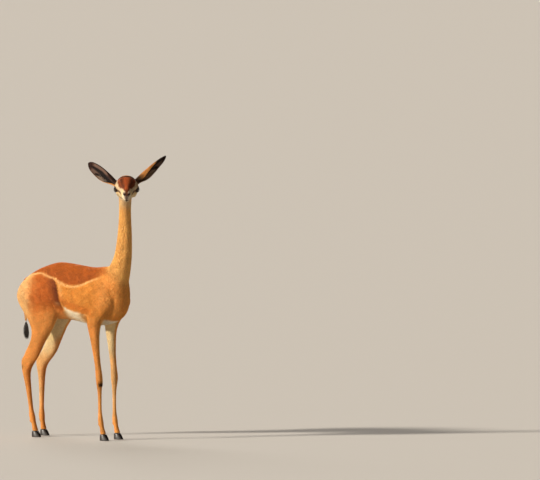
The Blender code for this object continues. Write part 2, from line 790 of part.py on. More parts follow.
def centre_on_floor(pieces):
    """Moves the animal so that the origin lies under the middle of its box, on the floor."""
    bpy.context.view_layer.update()
    corners = np.array([v.co for piece in pieces for v in piece.data.vertices])
    low, high = corners.min(0), corners.max(0)
    shift = Vector((-(low[0] + high[0]) / 2, -(low[1] + high[1]) / 2, -low[2]))
    for piece in pieces:
        piece.data.transform(Matrix.Translation(shift))


build()
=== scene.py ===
"""A young female gerenuk, stuffed and mounted as it stood: hide, coat, ears, eyes, hooves and tuft.

Places named "from the hooves" are measured from the ground between the fore hooves: x forwards,
y to the animal's left, z up. Places named "on the head" are forward, left and up from the middle
of the eyes, in the head's own lie. Metres throughout.
"""

from math import cos, pi, radians, sin

import bmesh
import bpy
import numpy as np
from mathutils import Matrix, Vector
from mathutils.bvhtree import BVHTree


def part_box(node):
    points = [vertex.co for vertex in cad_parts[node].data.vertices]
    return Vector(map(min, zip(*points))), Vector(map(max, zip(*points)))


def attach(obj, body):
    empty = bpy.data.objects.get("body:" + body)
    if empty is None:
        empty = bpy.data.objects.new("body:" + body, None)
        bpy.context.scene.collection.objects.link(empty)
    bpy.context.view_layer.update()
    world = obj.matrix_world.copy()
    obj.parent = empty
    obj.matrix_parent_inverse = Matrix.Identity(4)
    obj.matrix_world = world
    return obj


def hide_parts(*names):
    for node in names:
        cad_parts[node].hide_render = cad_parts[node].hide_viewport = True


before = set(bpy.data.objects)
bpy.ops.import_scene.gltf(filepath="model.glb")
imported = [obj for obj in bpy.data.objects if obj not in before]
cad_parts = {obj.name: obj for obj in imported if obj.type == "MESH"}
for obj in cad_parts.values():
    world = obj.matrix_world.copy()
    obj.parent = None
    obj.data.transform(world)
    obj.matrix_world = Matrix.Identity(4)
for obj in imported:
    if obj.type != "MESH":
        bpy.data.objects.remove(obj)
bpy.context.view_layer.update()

# The camera. It stands a long way off to the animal's right front, a little above the ground,
# with a long lens, so that the whole animal is seen with the photograph's flat perspective.
PIXELS_PER_METRE = 233
PICTURE_WIDE, PICTURE_HIGH = 540, 480
HOOVES_SEEN_AT = (111.5, 440)
CAMERA_ROUND, CAMERA_RISE = radians(45), radians(2.5)
CAMERA_DISTANCE = 80
CAMERA_REACH = 1000
SENSOR_WIDE = 36
EYES_FROM_HOOVES = Vector((0.1266, -0.0334, 1.084))
HEAD_YAW, HEAD_PITCH = radians(-44.5), radians(21)
EYE_FORWARD = 0.001
SIDES = {"left": 1, "right": -1}


def middle_of(node):
    low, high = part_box(node)
    return (low + high) / 2


head_turn = Matrix.Rotation(HEAD_YAW, 3, "Z") @ Matrix.Rotation(HEAD_PITCH, 3, "Y")
eyes_middle = (middle_of("eye_left") + middle_of("eye_right")) / 2 - head_turn.col[0] * EYE_FORWARD
hooves_middle = eyes_middle - EYES_FROM_HOOVES

towards_camera = Vector(
    (
        sin(CAMERA_ROUND) * cos(CAMERA_RISE),
        -cos(CAMERA_ROUND) * cos(CAMERA_RISE),
        sin(CAMERA_RISE),
    )
)
picture_right = Vector((cos(CAMERA_ROUND), sin(CAMERA_ROUND), 0))
picture_up = towards_camera.cross(picture_right)
aim = (
    hooves_middle
    + picture_right * ((PICTURE_WIDE / 2 - HOOVES_SEEN_AT[0]) / PIXELS_PER_METRE)
    + picture_up * ((HOOVES_SEEN_AT[1] - PICTURE_HIGH / 2) / PIXELS_PER_METRE)
)
lens = bpy.data.cameras.new("camera")
lens.sensor_width = SENSOR_WIDE
lens.lens = SENSOR_WIDE * CAMERA_DISTANCE / (PICTURE_WIDE / PIXELS_PER_METRE)
lens.clip_end = CAMERA_REACH
camera = bpy.data.objects.new("camera", lens)
bpy.context.scene.collection.objects.link(camera)
camera_turn = Matrix((picture_right, picture_up, towards_camera)).transposed().to_4x4()
camera.matrix_world = Matrix.Translation(aim + towards_camera * CAMERA_DISTANCE) @ camera_turn
bpy.context.scene.camera = camera

# The hide. The flesh of trunk, neck, head, tail, legs and ears is fused into one closed skin, as a
# tanned hide is drawn over a carved form, smoothed where the form is broad, and carved with the
# hollows between the muscles. It lies inside the solids by the depth of the coat.
FLESH = [
    "torso",
    "neck",
    "head",
    "tail",
    "foreleg_left",
    "foreleg_right",
    "hindleg_left",
    "hindleg_right",
    "ear_left",
    "ear_right",
]
HIDE_GRAIN = 0.0017
HIDE_TRIANGLES = 118_000
# For each kind of flesh: how far its solid is swollen before it is fused, how far its facets are
# then smoothed, and how deep the skin lies in it.
KINDS = ["torso", "neck", "head", "tail", "leg", "ear"]
SWELL = dict(zip(KINDS, (0.0004, 0.0004, 0.0004, 0.0004, 0.0004, 0.0008)))
SAME_PLACE = 1e-5
SMOOTHING = np.array([0.0080, 0.0050, 0.0032, 0.0020, 0.0026, 0.0018])
SKIN_DEPTH = np.array([0.0020, 0.0016, 0.0007, 0.0014, 0.0010, 0.0009])
SINKINGS = 3
EYE_RADIUS = 0.0148
EYE_OUT = 0.0388
LID_SMOOTHING = 0.0009


def kind_of(node):
    return next(kind for kind in KINDS if kind in node)


def eye_frame(side):
    """The middle of an eyeball, and the ways along its opening, up across it and out of it."""
    centre = eyes_middle + head_turn @ Vector((EYE_FORWARD, EYE_OUT * side, 0))
    out = (head_turn @ Vector((0.46, 0.88 * side, 0.06))).normalized()
    along = (head_turn @ Vector((0.86, -0.45 * side, -0.22))).normalized()
    up = (out.cross(along) * side).normalized()
    return np.array(centre), np.array(along), np.array(up), np.array(out)


def add_piece(name, mesh):
    made = bpy.data.objects.new(name, mesh)
    bpy.context.scene.collection.objects.link(made)
    return made


def places_of(mesh):
    places = np.empty(len(mesh.vertices) * 3, np.float32)
    mesh.vertices.foreach_get("co", places)
    return places.reshape(-1, 3).astype(float)


def directions_of(mesh):
    facing = np.empty(len(mesh.vertices) * 3, np.float32)
    mesh.vertices.foreach_get("normal", facing)
    return facing.reshape(-1, 3).astype(float)


def edges_of(mesh):
    ends = np.empty(len(mesh.edges) * 2, np.int32)
    mesh.edges.foreach_get("vertices", ends)
    return ends.reshape(-1, 2)


def set_places(mesh, places):
    mesh.vertices.foreach_set("co", places.astype(np.float32).ravel())
    mesh.update()


def with_modifiers(piece):
    """The piece with its modifiers applied to its mesh."""
    bpy.context.view_layer.update()
    graph = bpy.context.evaluated_depsgraph_get()
    mesh = bpy.data.meshes.new_from_object(piece.evaluated_get(graph), depsgraph=graph)
    piece.modifiers.clear()
    piece.data = mesh
    return piece


def eased(values, edges, share, rounds):
    """Values at each vertex, drawn again and again towards its neighbours' mean by its own share."""
    first, second = edges.T
    size = len(values)
    around = np.bincount(edges.ravel(), minlength=size)
    for _ in range(rounds):
        for k in range(values.shape[1]):
            column = values[:, k]
            total = np.bincount(first, column[second], size)
            total += np.bincount(second, column[first], size)
            values[:, k] = column + share * (total / around - column)
    return values


def step(low, high, value):
    """0 up to low, 1 from high, and smooth between. low may be the larger of the two."""
    share = np.clip((value - low) / (high - low), 0, 1)
    return share * share * (3 - 2 * share)


def hump(value, middle, reach, power=2):
    """1 at the middle and falling softly on both sides of it, flatter on top for a higher power."""
    return np.exp(-(np.abs((value - middle) / reach) ** power))


def fused_flesh():
    body = bmesh.new()
    for node in FLESH:
        old = set(body.verts)
        body.from_mesh(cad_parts[node].data)
        new = [v for v in body.verts if v not in old]
        bmesh.ops.remove_doubles(body, verts=new, dist=SAME_PLACE)
        body.normal_update()
        bmesh.ops.recalc_face_normals(body, faces=body.faces)
        for vertex in body.verts:
            if vertex not in old:
                vertex.co += vertex.normal * SWELL[kind_of(node)]
    mesh = bpy.data.meshes.new("hide")
    body.to_mesh(mesh)
    body.free()
    made = add_piece("hide", mesh)
    fuse = made.modifiers.new("fuse", "REMESH")
    fuse.mode = "VOXEL"
    fuse.voxel_size = HIDE_GRAIN
    return with_modifiers(made)


def outer_shell(mesh):
    """Drops every closed surface inside the hide."""
    beside = [[] for _ in mesh.vertices]
    for first, second in edges_of(mesh).tolist():
        beside[first].append(second)
        beside[second].append(first)
    left = np.ones(len(beside), bool)
    shells = []
    for start in range(len(beside)):
        if not left[start]:
            continue
        left[start] = False
        shell, front = [start], [start]
        while front:
            for other in beside[front.pop()]:
                if left[other]:
                    left[other] = False
                    shell.append(other)
                    front.append(other)
        shells.append(shell)
    inner = set().union(*sorted(shells, key=len)[:-1])
    if inner:
        body = bmesh.new()
        body.from_mesh(mesh)
        dropped = [v for v in body.verts if v.index in inner]
        bmesh.ops.delete(body, geom=dropped, context="VERTS")
        body.to_mesh(mesh)
        body.free()


def flesh_kinds(places):
    """For each place, the kind of the solid that it lies nearest to."""
    corners, faces, owners = [], [], []
    for node in FLESH:
        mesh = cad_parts[node].data
        start = len(corners)
        corners += [v.co for v in mesh.vertices]
        faces += [[start + i for i in polygon.vertices] for polygon in mesh.polygons]
        owners += [node] * len(mesh.polygons)
    tree = BVHTree.FromPolygons(corners, faces)
    owner_kinds = np.array([KINDS.index(kind_of(node)) for node in owners])
    nearest = np.array([tree.find_nearest(place)[2] for place in places.tolist()])
    return owner_kinds[nearest]


def shares_of_kinds(places, edges):
    """The share of each kind of flesh in each vertex, melting into each other at the joins."""
    return eased(np.eye(len(KINDS))[flesh_kinds(places)], edges, 0.5, 24)


# Hollows and ridges from the hooves, on the left and mirrored to the right: how wide the hollow is
# to each side, how deep, and its path over the flesh. A ridge has a depth below zero.
HOLLOWS = [
    # the flank's fold in front of the thigh
    (
        0.010,
        0.0046,
        (-0.288, 0.074, 0.690),
        (-0.256, 0.080, 0.650),
        (-0.245, 0.084, 0.605),
        (-0.228, 0.074, 0.560),
    ),
    # between the hamstring and the thigh
    (
        0.012,
        0.0020,
        (-0.478, 0.050, 0.668),
        (-0.452, 0.078, 0.600),
        (-0.428, 0.080, 0.530),
        (-0.408, 0.078, 0.470),
    ),
    # the thigh's own muscles
    (
        0.014,
        0.0012,
        (-0.360, 0.085, 0.690),
        (-0.352, 0.092, 0.620),
        (-0.340, 0.090, 0.560),
    ),
    # behind the shoulder blade
    (
        0.014,
        0.0024,
        (-0.050, 0.060, 0.725),
        (-0.088, 0.080, 0.670),
        (-0.096, 0.086, 0.610),
        (-0.082, 0.082, 0.555),
    ),
    # between the neck and the shoulder
    (
        0.012,
        0.0018,
        (0.000, 0.045, 0.735),
        (0.042, 0.054, 0.690),
        (0.052, 0.055, 0.630),
        (0.036, 0.062, 0.575),
    ),
    # between the shoulder and the upper arm
    (
        0.010,
        0.0016,
        (0.030, 0.070, 0.612),
        (0.000, 0.083, 0.606),
        (-0.040, 0.085, 0.585),
        (-0.066, 0.080, 0.548),
    ),
    # the ridge of the shoulder blade and the point of the hip
    (
        0.009,
        -0.0012,
        (-0.020, 0.052, 0.735),
        (-0.004, 0.070, 0.680),
        (0.010, 0.074, 0.645),
    ),
    (
        0.013,
        -0.0026,
        (-0.322, 0.055, 0.728),
        (-0.300, 0.066, 0.712),
    ),
    # the ridge of the spine
    (
        0.008,
        -0.0012,
        (-0.490, 0.000, 0.697),
        (-0.360, 0.000, 0.745),
        (-0.200, 0.000, 0.747),
        (-0.040, 0.000, 0.743),
    ),
    # the windpipe's edge and the neck's long muscle
    (
        0.007,
        0.0014,
        (0.096, 0.022, 1.010),
        (0.100, 0.021, 0.920),
        (0.100, 0.024, 0.830),
        (0.090, 0.032, 0.745),
    ),
    (
        0.009,
        0.0010,
        (0.070, 0.026, 0.980),
        (0.060, 0.028, 0.880),
        (0.040, 0.036, 0.780),
    ),
]
RIB_SPACING, RIB_DEPTH, RIB_SLANT = 0.16 / 7, 0.0005, 0.35


def beside_path(places, path):
    """How far each place lies from a path of straight stretches."""
    nearest = np.full(len(places), np.inf)
    path = np.array(path)
    for start, end in zip(path, path[1:]):
        run = end - start
        share = np.clip(((places - start) @ run) / (run @ run), 0, 1)
        nearest = np.minimum(nearest, np.linalg.norm(places - start - share[:, None] * run, axis=1))
    return nearest


def carved(places, facing):
    """The places with the hollows between muscles and over the ribs pressed in."""
    mirrored = (places - np.array(hooves_middle))
    mirrored[:, 1] = np.abs(mirrored[:, 1])
    depth = np.zeros(len(places))
    for width, deep, *path in HOLLOWS:
        depth += deep * hump(beside_path(mirrored, path), 0, width)
    x, y, z = mirrored.T
    flank = step(-0.262, -0.225, x) * step(-0.085, -0.115, x)
    flank *= step(0.535, 0.57, z) * step(0.715, 0.68, z)
    rib = (x + RIB_SLANT * (z - 0.62)) / RIB_SPACING
    depth += flank * RIB_DEPTH / 2 * (1 - np.cos(2 * pi * rib))
    return places - facing * depth[:, None]


def on_head(places):
    """How far forward, left and up each place lies from the middle of the eyes, in the head's lie."""
    return (places - np.array(eyes_middle)) @ np.array(head_turn)


def eye_opening(places, side):
    """How far out each place lies in the lids' opening, 1 at its edge, and from the eye's middle."""
    centre, along, up, out = eye_frame(side)
    away = places - centre
    lift = away @ up
    share = (away @ along / LID_HALF_LENGTH) ** 2
    share += (np.abs(lift) / np.where(lift > 0, *LID_LIFTS)) ** (4 / 3)
    return np.where(away @ out > 0, share, BEHIND_EYE), np.linalg.norm(away, axis=1)


BEHIND_EYE = 9
LID_HALF_LENGTH = 0.0132
LID_LIFTS = (0.0098, 0.0082)
# a nostril's place to the side and up, the corner of the mouth forward, the line between the lips
# up, and the gland's place forward and up
NOSTRIL = (0.0088, 0.0215)
MOUTH_CORNER, MOUTH_HEIGHT = 0.058, -0.0058
GLAND = (0.041, 0.0025)


def mouth_line(forward):
    """The height of the line between the lips."""
    return MOUTH_HEIGHT - 0.0040 * (1 - np.clip((forward - MOUTH_CORNER) / 0.05, 0, 1))


def face_carved(places, facing):
    """Lids, nostrils, lips, cheek bones and the glands before the eyes, worked into the head."""
    forward, left, up = on_head(places).T
    out = np.abs(left)
    swell = np.zeros(len(places))
    # lips and the line between them
    lips = step(MOUTH_CORNER - 0.006, MOUTH_CORNER + 0.010, forward)
    over_line = up - mouth_line(forward)
    swell -= 0.0016 * lips * hump(over_line, 0, 0.0011)
    swell += 0.0006 * lips * hump(over_line, 0.0034, 0.0024)
    swell -= 0.0008 * lips * hump(over_line, -0.0028, 0.0024)
    # the groove down from the nose, and the bare nose between the nostrils
    front = step(0.104, 0.112, forward) * step(0.024, 0.018, up) * step(-0.004, 0.000, over_line)
    swell -= 0.0008 * front * hump(left, 0, 0.0009)
    # nostrils: slanting commas with a raised wing over each
    slant_x = (out - NOSTRIL[0]) * 0.78 + (up - NOSTRIL[1]) * 0.62
    slant_y = (up - NOSTRIL[1]) * 0.78 - (out - NOSTRIL[0]) * 0.62
    near = step(0.090, 0.100, forward)
    hole = (slant_x / 0.0052) ** 2 + (slant_y / 0.0020) ** 2
    swell -= 0.0042 * near * np.exp(-(hole**1.3))
    wing = ((slant_x - 0.0005) / 0.0078) ** 2 + ((slant_y - 0.0030) / 0.0026) ** 2
    swell += 0.0011 * near * np.exp(-wing)
    # the cheek bone below the eye and the brow's edge above it
    bone = hump(up + 0.10 * forward, -0.0125, 0.0045) * step(0.012, 0.020, out)
    swell += 0.0009 * bone * step(-0.004, 0.010, forward) * step(0.062, 0.040, forward)
    # the gland's slit before the eye
    slit = ((forward - GLAND[0]) / 0.0065) ** 2 + ((up - GLAND[1]) / 0.0014) ** 2
    swell -= 0.0014 * np.exp(-slit) * step(0.014, 0.020, out)
    # the jaw's hind edge
    swell -= 0.0012 * hump(beside_path(np.stack([forward, out, up], 1), JAW_EDGE), 0, 0.006)
    places = places + facing * swell[:, None]
    for side in SIDES.values():
        centre = eye_frame(side)[0]
        share, distance = eye_opening(places, side)
        upper = step(-0.002, 0.004, (places - centre) @ eye_frame(side)[2])
        lid = EYE_RADIUS + 0.0016 + 0.0005 * upper - 0.0008 * step(1.12, 0.98, share)
        fold = EYE_RADIUS + 0.0008
        wanted = lid + (fold - lid) * step(1.30, 1.62, share) * step(2.1, 1.75, share)
        hold = step(2.3, 1.7, share) * step(EYE_RADIUS + 0.0002, EYE_RADIUS + 0.0008, distance)
        hold *= step(EYE_RADIUS + 0.012, EYE_RADIUS + 0.006, distance)
        moved = (places - centre) * (hold * (wanted / distance - 1))[:, None]
        places = places + moved
    return places


JAW_EDGE = [(-0.030, 0.040, -0.010), (-0.034, 0.036, -0.030), (-0.020, 0.030, -0.048)]
SMOOTHING_ROUNDS, SMOOTHING_LEVELS = 100, 24


def smoothing_reach(places):
    reach = SMOOTHING[flesh_kinds(places)]
    for side in SIDES.values():
        beside_eye = np.linalg.norm(places - eye_frame(side)[0], axis=1)
        reach = np.minimum(reach, LID_SMOOTHING + 0.004 * step(0.017, 0.032, beside_eye))
    return reach


def softened(piece, reach):
    """Smooths a piece, each vertex as far as its own reach."""
    group = piece.vertex_groups.new(name="soft")
    weights = np.clip(4 * reach**2 / (HIDE_GRAIN**2 * SMOOTHING_ROUNDS), 0, 1)
    level_of = np.ceil(np.sqrt(weights) * SMOOTHING_LEVELS)
    for level in np.unique(level_of):
        at_level = np.flatnonzero(level_of == level).tolist()
        group.add(at_level, (level / SMOOTHING_LEVELS) ** 2, "REPLACE")
    soften = piece.modifiers.new("soften", "SMOOTH")
    soften.vertex_group = group.name
    soften.factor = 0.5
    soften.iterations = SMOOTHING_ROUNDS
    with_modifiers(piece)
    piece.vertex_groups.clear()


def head_refined(mesh, shares):
    """Splits the head's triangles into four, for the fine carving of the face."""
    body = bmesh.new()
    body.from_mesh(mesh)
    of_head = shares[:, KINDS.index("head")] > 0.55
    edges = [e for e in body.edges if of_head[e.verts[0].index] and of_head[e.verts[1].index]]
    bmesh.ops.subdivide_edges(body, edges=edges, cuts=1)
    bmesh.ops.triangulate(body, faces=[f for f in body.faces if len(f.verts) > 3])
    body.to_mesh(mesh)
    body.free()


hide = fused_flesh()
softened(hide, smoothing_reach(places_of(hide.data)))
set_places(hide.data, carved(places_of(hide.data), directions_of(hide.data)))
thin = hide.modifiers.new("thin", "DECIMATE")
thin.ratio = HIDE_TRIANGLES / (2 * len(hide.data.polygons))
hide.modifiers.new("triangles", "TRIANGULATE")
with_modifiers(hide)
outer_shell(hide.data)
head_refined(hide.data, shares_of_kinds(places_of(hide.data), edges_of(hide.data)))

hide_edges = edges_of(hide.data)
kind_shares = shares_of_kinds(places_of(hide.data), hide_edges)
broad = kind_shares[:, [KINDS.index("torso"), KINDS.index("neck"), KINDS.index("leg")]].sum(1)
of_head = kind_shares[:, KINDS.index("head")]
set_places(hide.data, eased(places_of(hide.data), hide_edges, 0.3 * broad + 0.35 * of_head, 4))
of_ear = kind_shares[:, KINDS.index("ear")]
for _ in range(SINKINGS):
    sinking = (kind_shares @ SKIN_DEPTH / SINKINGS)[:, None]
    hide_places = places_of(hide.data) - directions_of(hide.data) * sinking
    set_places(hide.data, eased(hide_places, hide_edges, 0.4 * of_ear, 2))
hide_places = places_of(hide.data)
hide_places = face_carved(hide_places, directions_of(hide.data))
set_places(hide.data, hide_places)
hide.data.shade_smooth()

# The markings. One rule gives the colour of every place on the animal, and both the skin and each
# tuft of the coat take it: the dark saddle over the pale line, golden flanks, white below, and the
# face's blaze, spectacles and dark rims. Painted shade deepens the thigh's front, and painted
# sunlight lies on the upper inner wall of the left ear.
# Edges as tables: the saddle's height and the white belly's at each place along the trunk, the
# thigh's front edge at each height, and half the blaze's width at each place forward.
SADDLE_EDGE = (
    (-0.60, -0.56, -0.50, -0.43, -0.39, -0.366, -0.335, -0.307, -0.274)
    + (-0.254, -0.207, -0.159, -0.111, -0.08, -0.046, -0.011, 0.03, 0.06),
    (0.690, 0.690, 0.696, 0.705, 0.708, 0.709, 0.705, 0.697, 0.688)
    + (0.679, 0.667, 0.658, 0.663, 0.677, 0.691, 0.702, 0.722, 0.75),
)
BELLY_EDGE = (
    (-0.40, -0.245, -0.225, -0.200, -0.150, -0.097, -0.050, 0.0, 0.06, 0.12),
    (0.604, 0.588, 0.582, 0.567, 0.554, 0.543, 0.533, 0.524, 0.512, 0.480),
)
THIGH_EDGE = (
    (0.44, 0.50, 0.53, 0.55, 0.575, 0.60, 0.632, 0.665, 0.685, 0.72),
    (-0.330, -0.262, -0.232, -0.222, -0.232, -0.241, -0.247, -0.259, -0.282, -0.320),
)
BLAZE_HALF_WIDTH = (
    (-0.034, -0.03, 0.0, 0.015, 0.03, 0.045, 0.06, 0.075, 0.09, 0.105),
    (0.038, 0.039, 0.037, 0.034, 0.029, 0.0225, 0.0165, 0.012, 0.009, 0.005),
)
# colours as red, green and blue up to 255, as the eye sees them
SADDLE, PALE_LINE, FLANK = (180, 92, 26), (248, 196, 130), (222, 146, 60)
NECK, LEG, THIGH = (250, 190, 108), (240, 166, 86), (204, 110, 38)
# the first is the thigh's front: its own dark chestnut, darkened further as painted shade
THIGH_FRONT_CHESTNUT_AND_SHADE, BUTTOCK = (84, 30, 2), (248, 202, 138)
WHITE, CREAM, DARK = (244, 228, 200), (244, 218, 168), (24, 14, 11)
BLAZE, BLAZE_EDGE, FAWN = (222, 114, 56), (92, 44, 18), (214, 158, 96)
SPECTACLE = (216, 188, 146)
EAR_INSIDE, EAR_BACK, EAR_TIP = (124, 96, 82), (218, 150, 76), (52, 26, 17)
NOSE = (120, 98, 86)
# each ear's root on the head, the way it points and the way its cup opens, yawed with the head
EAR_ROOTS = {"left": (-0.042, 0.041, 0.026), "right": (-0.042, -0.0435, 0.018)}
EAR_POINTS = {"left": (-0.20, 0.74, 0.645), "right": (-0.52, -0.70, 0.50)}
EAR_OPENINGS = {"left": (0.50, 0.66, -0.56), "right": (0.80, -0.60, 0.0)}
EAR_LENGTH = 0.175
UNDER_COAT = 0.88


WAVES, WAVES_TOGETHER = 7, 3.2


def wandering(places, size, seed):
    """A soft random number between about -1 and 1 for each place, changing over the given size."""
    chance = np.random.default_rng(seed)
    total = np.zeros(len(places))
    for _ in range(WAVES):
        way = chance.normal(size=3)
        way /= np.linalg.norm(way)
        pitch = 2 * pi / size * chance.uniform(0.6, 1.5)
        total += np.sin(places @ way * pitch + chance.uniform(0, 6.28))
    return total / WAVES_TOGETHER


def ear_share(places, name):
    """How far each place lies along an ear and across it, with the ear's own directions and root."""
    yawed = Matrix.Rotation(HEAD_YAW, 3, "Z")
    root = np.array(eyes_middle + yawed @ Vector(EAR_ROOTS[name]))
    point = np.array((yawed @ Vector(EAR_POINTS[name])).normalized())
    opening = np.array((yawed @ Vector(EAR_OPENINGS[name])).normalized())
    opening -= point * (opening @ point)
    opening /= np.linalg.norm(opening)
    across = np.cross(point, opening)
    away = places - root
    return away @ point / EAR_LENGTH, away @ across, point, opening, across, root


def along_table(value, table, reach):
    """Reads a table of places and values, with its corners rounded over the given reach."""
    shifts = (-1, -0.6, -0.2, 0.2, 0.6, 1)
    return sum(np.interp(value + reach * shift, *table) for shift in shifts) / len(shifts)


def painted(colours, share, colour):
    """Lays a colour over the others, as thick as its share at each place."""
    colours += share[:, None] * (np.array(colour, float) - colours)


# dark spots behind the hocks and before the knees: along, up, half as wide, half as high, how dark
LEG_SPOTS = (
    (-0.468, 0.303, 0.016, 0.013, 0.75),
    (-0.456, 0.262, 0.0128, 0.012, 0.75),
    (-0.006, 0.246, 0.0112, 0.010, 0.80),
)
LEG_ASIDE = 0.058


def markings(places, facing, shares):
    """The colour of the coat at each place, as linear light."""
    torso, neck, head, tail, leg, ear = shares.T
    x, y, z = (places - np.array(hooves_middle)).T
    wave = wandering(places, 0.09, 3) * 0.005 + wandering(places, 0.025, 4) * 0.0025
    colours = np.tile(np.array(FLANK, float), (len(places), 1))
    # the trunk: saddle, pale line, flank, white belly and chest
    edge = along_table(x, SADDLE_EDGE, 0.018) + 0.45 * wave
    under = along_table(x, BELLY_EDGE, 0.015) + 0.5 * wave
    belly = step(under + 0.003, under - 0.005, z) * step(-0.285, -0.250, x - 0.3 * wave) * (1 - leg)
    # the haunch: chestnut in front and above, darkened at its front edge by painted shade, paler
    # behind, white under the tail
    fold = along_table(z, THIGH_EDGE, 0.012) + 0.3 * wave
    haunch = step(fold + 0.004, fold - 0.006, x) * step(0.40, 0.50, z)
    painted(colours, 0.5 * hump(x - fold, 0.020, 0.016) * step(0.57, 0.62, z), PALE_LINE)
    painted(colours, haunch, LEG)
    painted(colours, haunch * step(0.50, 0.60, z + 2 * wave), THIGH)
    # painted shade: the thigh's front edge turns from the lamp, so its dark band is painted darker
    # still, fading back over the thigh
    shaded = (np.maximum(fold - 0.003 - x, 0) / 0.034) ** 1.1 + ((z - 0.628) / 0.062) ** 4
    painted(colours, 0.95 * haunch * np.exp(-shaded), THIGH_FRONT_CHESTNUT_AND_SHADE)
    painted(colours, 0.9 * haunch * step(-0.36, -0.45, x + wave * 2), BUTTOCK)
    painted(colours, step(edge - 0.004, edge + 0.008, z), SADDLE)
    line = hump(z - edge, -0.004, 0.0052) * step(-0.50, -0.40, x) * step(0.02, -0.05, x)
    painted(colours, 0.9 * line, PALE_LINE)
    rump = step(0.042, 0.030, np.abs(y) + wave) * step(-0.488, -0.503, x)
    rump *= step(0.50, 0.54, z) * step(0.712, 0.70, z)
    # the fore part: shoulder and neck
    front = step(-0.06, 0.03, x) * step(0.48, 0.60, z)
    painted(colours, 0.75 * front * step(0.76, 0.70, z), LEG)
    band = hump(z - under, 0.020, 0.016) * step(-0.27, -0.22, x) * step(-0.02, -0.07, x)
    painted(colours, 0.55 * band, THIGH)
    painted(colours, belly, WHITE)
    painted(colours, neck, NECK)
    neck_ahead = np.array((cos(HEAD_YAW * 0.6), sin(HEAD_YAW * 0.6), 0))
    painted(colours, 0.35 * neck * step(0.3, 0.85, -facing @ neck_ahead), SADDLE)
    throat = step(-0.1, 0.5, facing @ np.array(head_turn.col[0]) - facing[:, 2] * 0.6)
    painted(colours, 0.85 * neck * throat * step(0.985, 1.025, z + wave), CREAM)
    # the legs: gold outside, white inside, dark spots at the hocks and knees
    painted(colours, leg * step(0.56, 0.46, z), LEG)
    side = np.sign(y)
    inside = step(-0.1, 0.55, -facing[:, 1] * side)
    hind = step(-0.14, -0.20, x)
    painted(colours, leg * inside * step(0.60, 0.50, z) * step(0.33, 0.40, z + wave * 2), CREAM)
    painted(colours, 0.5 * leg * inside * step(0.42, 0.36, z) * step(0.05, 0.20, z), CREAM)
    painted(colours, 0.5 * leg * hind * step(0.46, 0.40, z) * step(0.1, 0.7, facing[:, 0]), THIGH)
    for spot_x, spot_z, wide, high, deep in LEG_SPOTS:
        of_hock = spot_x < -0.2
        away = np.hypot(x - spot_x - 0.012 * (y > 0) * of_hock, np.abs(y) - LEG_ASIDE)
        near = (away / wide) ** 2 + ((z - spot_z) / high) ** 2
        turned = step(0.0, 0.5, facing[:, 0] * (-1 if of_hock else 1))
        painted(colours, deep * leg * np.exp(-(near**2)) * turned, DARK)
    painted(colours, 0.25 * leg * step(0.12, 0.05, z), FLANK)
    painted(colours, step(0.030, 0.022, z) * leg, DARK)
    dew_claw = leg * hump(z, 0.068, 0.0075) * step(-0.3, -0.8, facing[:, 0])
    painted(colours, dew_claw * step(0.0042, 0.0060, np.abs(np.abs(y) - LEG_ASIDE)), DARK)
    painted(colours, rump, WHITE)
    # the tail
    painted(colours, tail, THIGH)
    painted(colours, 0.6 * tail * step(0.60, 0.56, z), LEG)
    painted(colours, tail * step(0.1, 0.6, facing[:, 0]), BUTTOCK)
    colours = faced(colours, places, facing, head)
    colours = eared(colours, places, facing, ear)
    mottle = 1 + 0.035 * wandering(places, 0.05, 7) + 0.03 * wandering(places, 0.013, 8)
    seen = np.clip(colours * mottle[:, None] / 255, 0, 1)
    return np.where(seen <= 0.04045, seen / 12.92, ((seen + 0.055) / 1.055) ** 2.4)


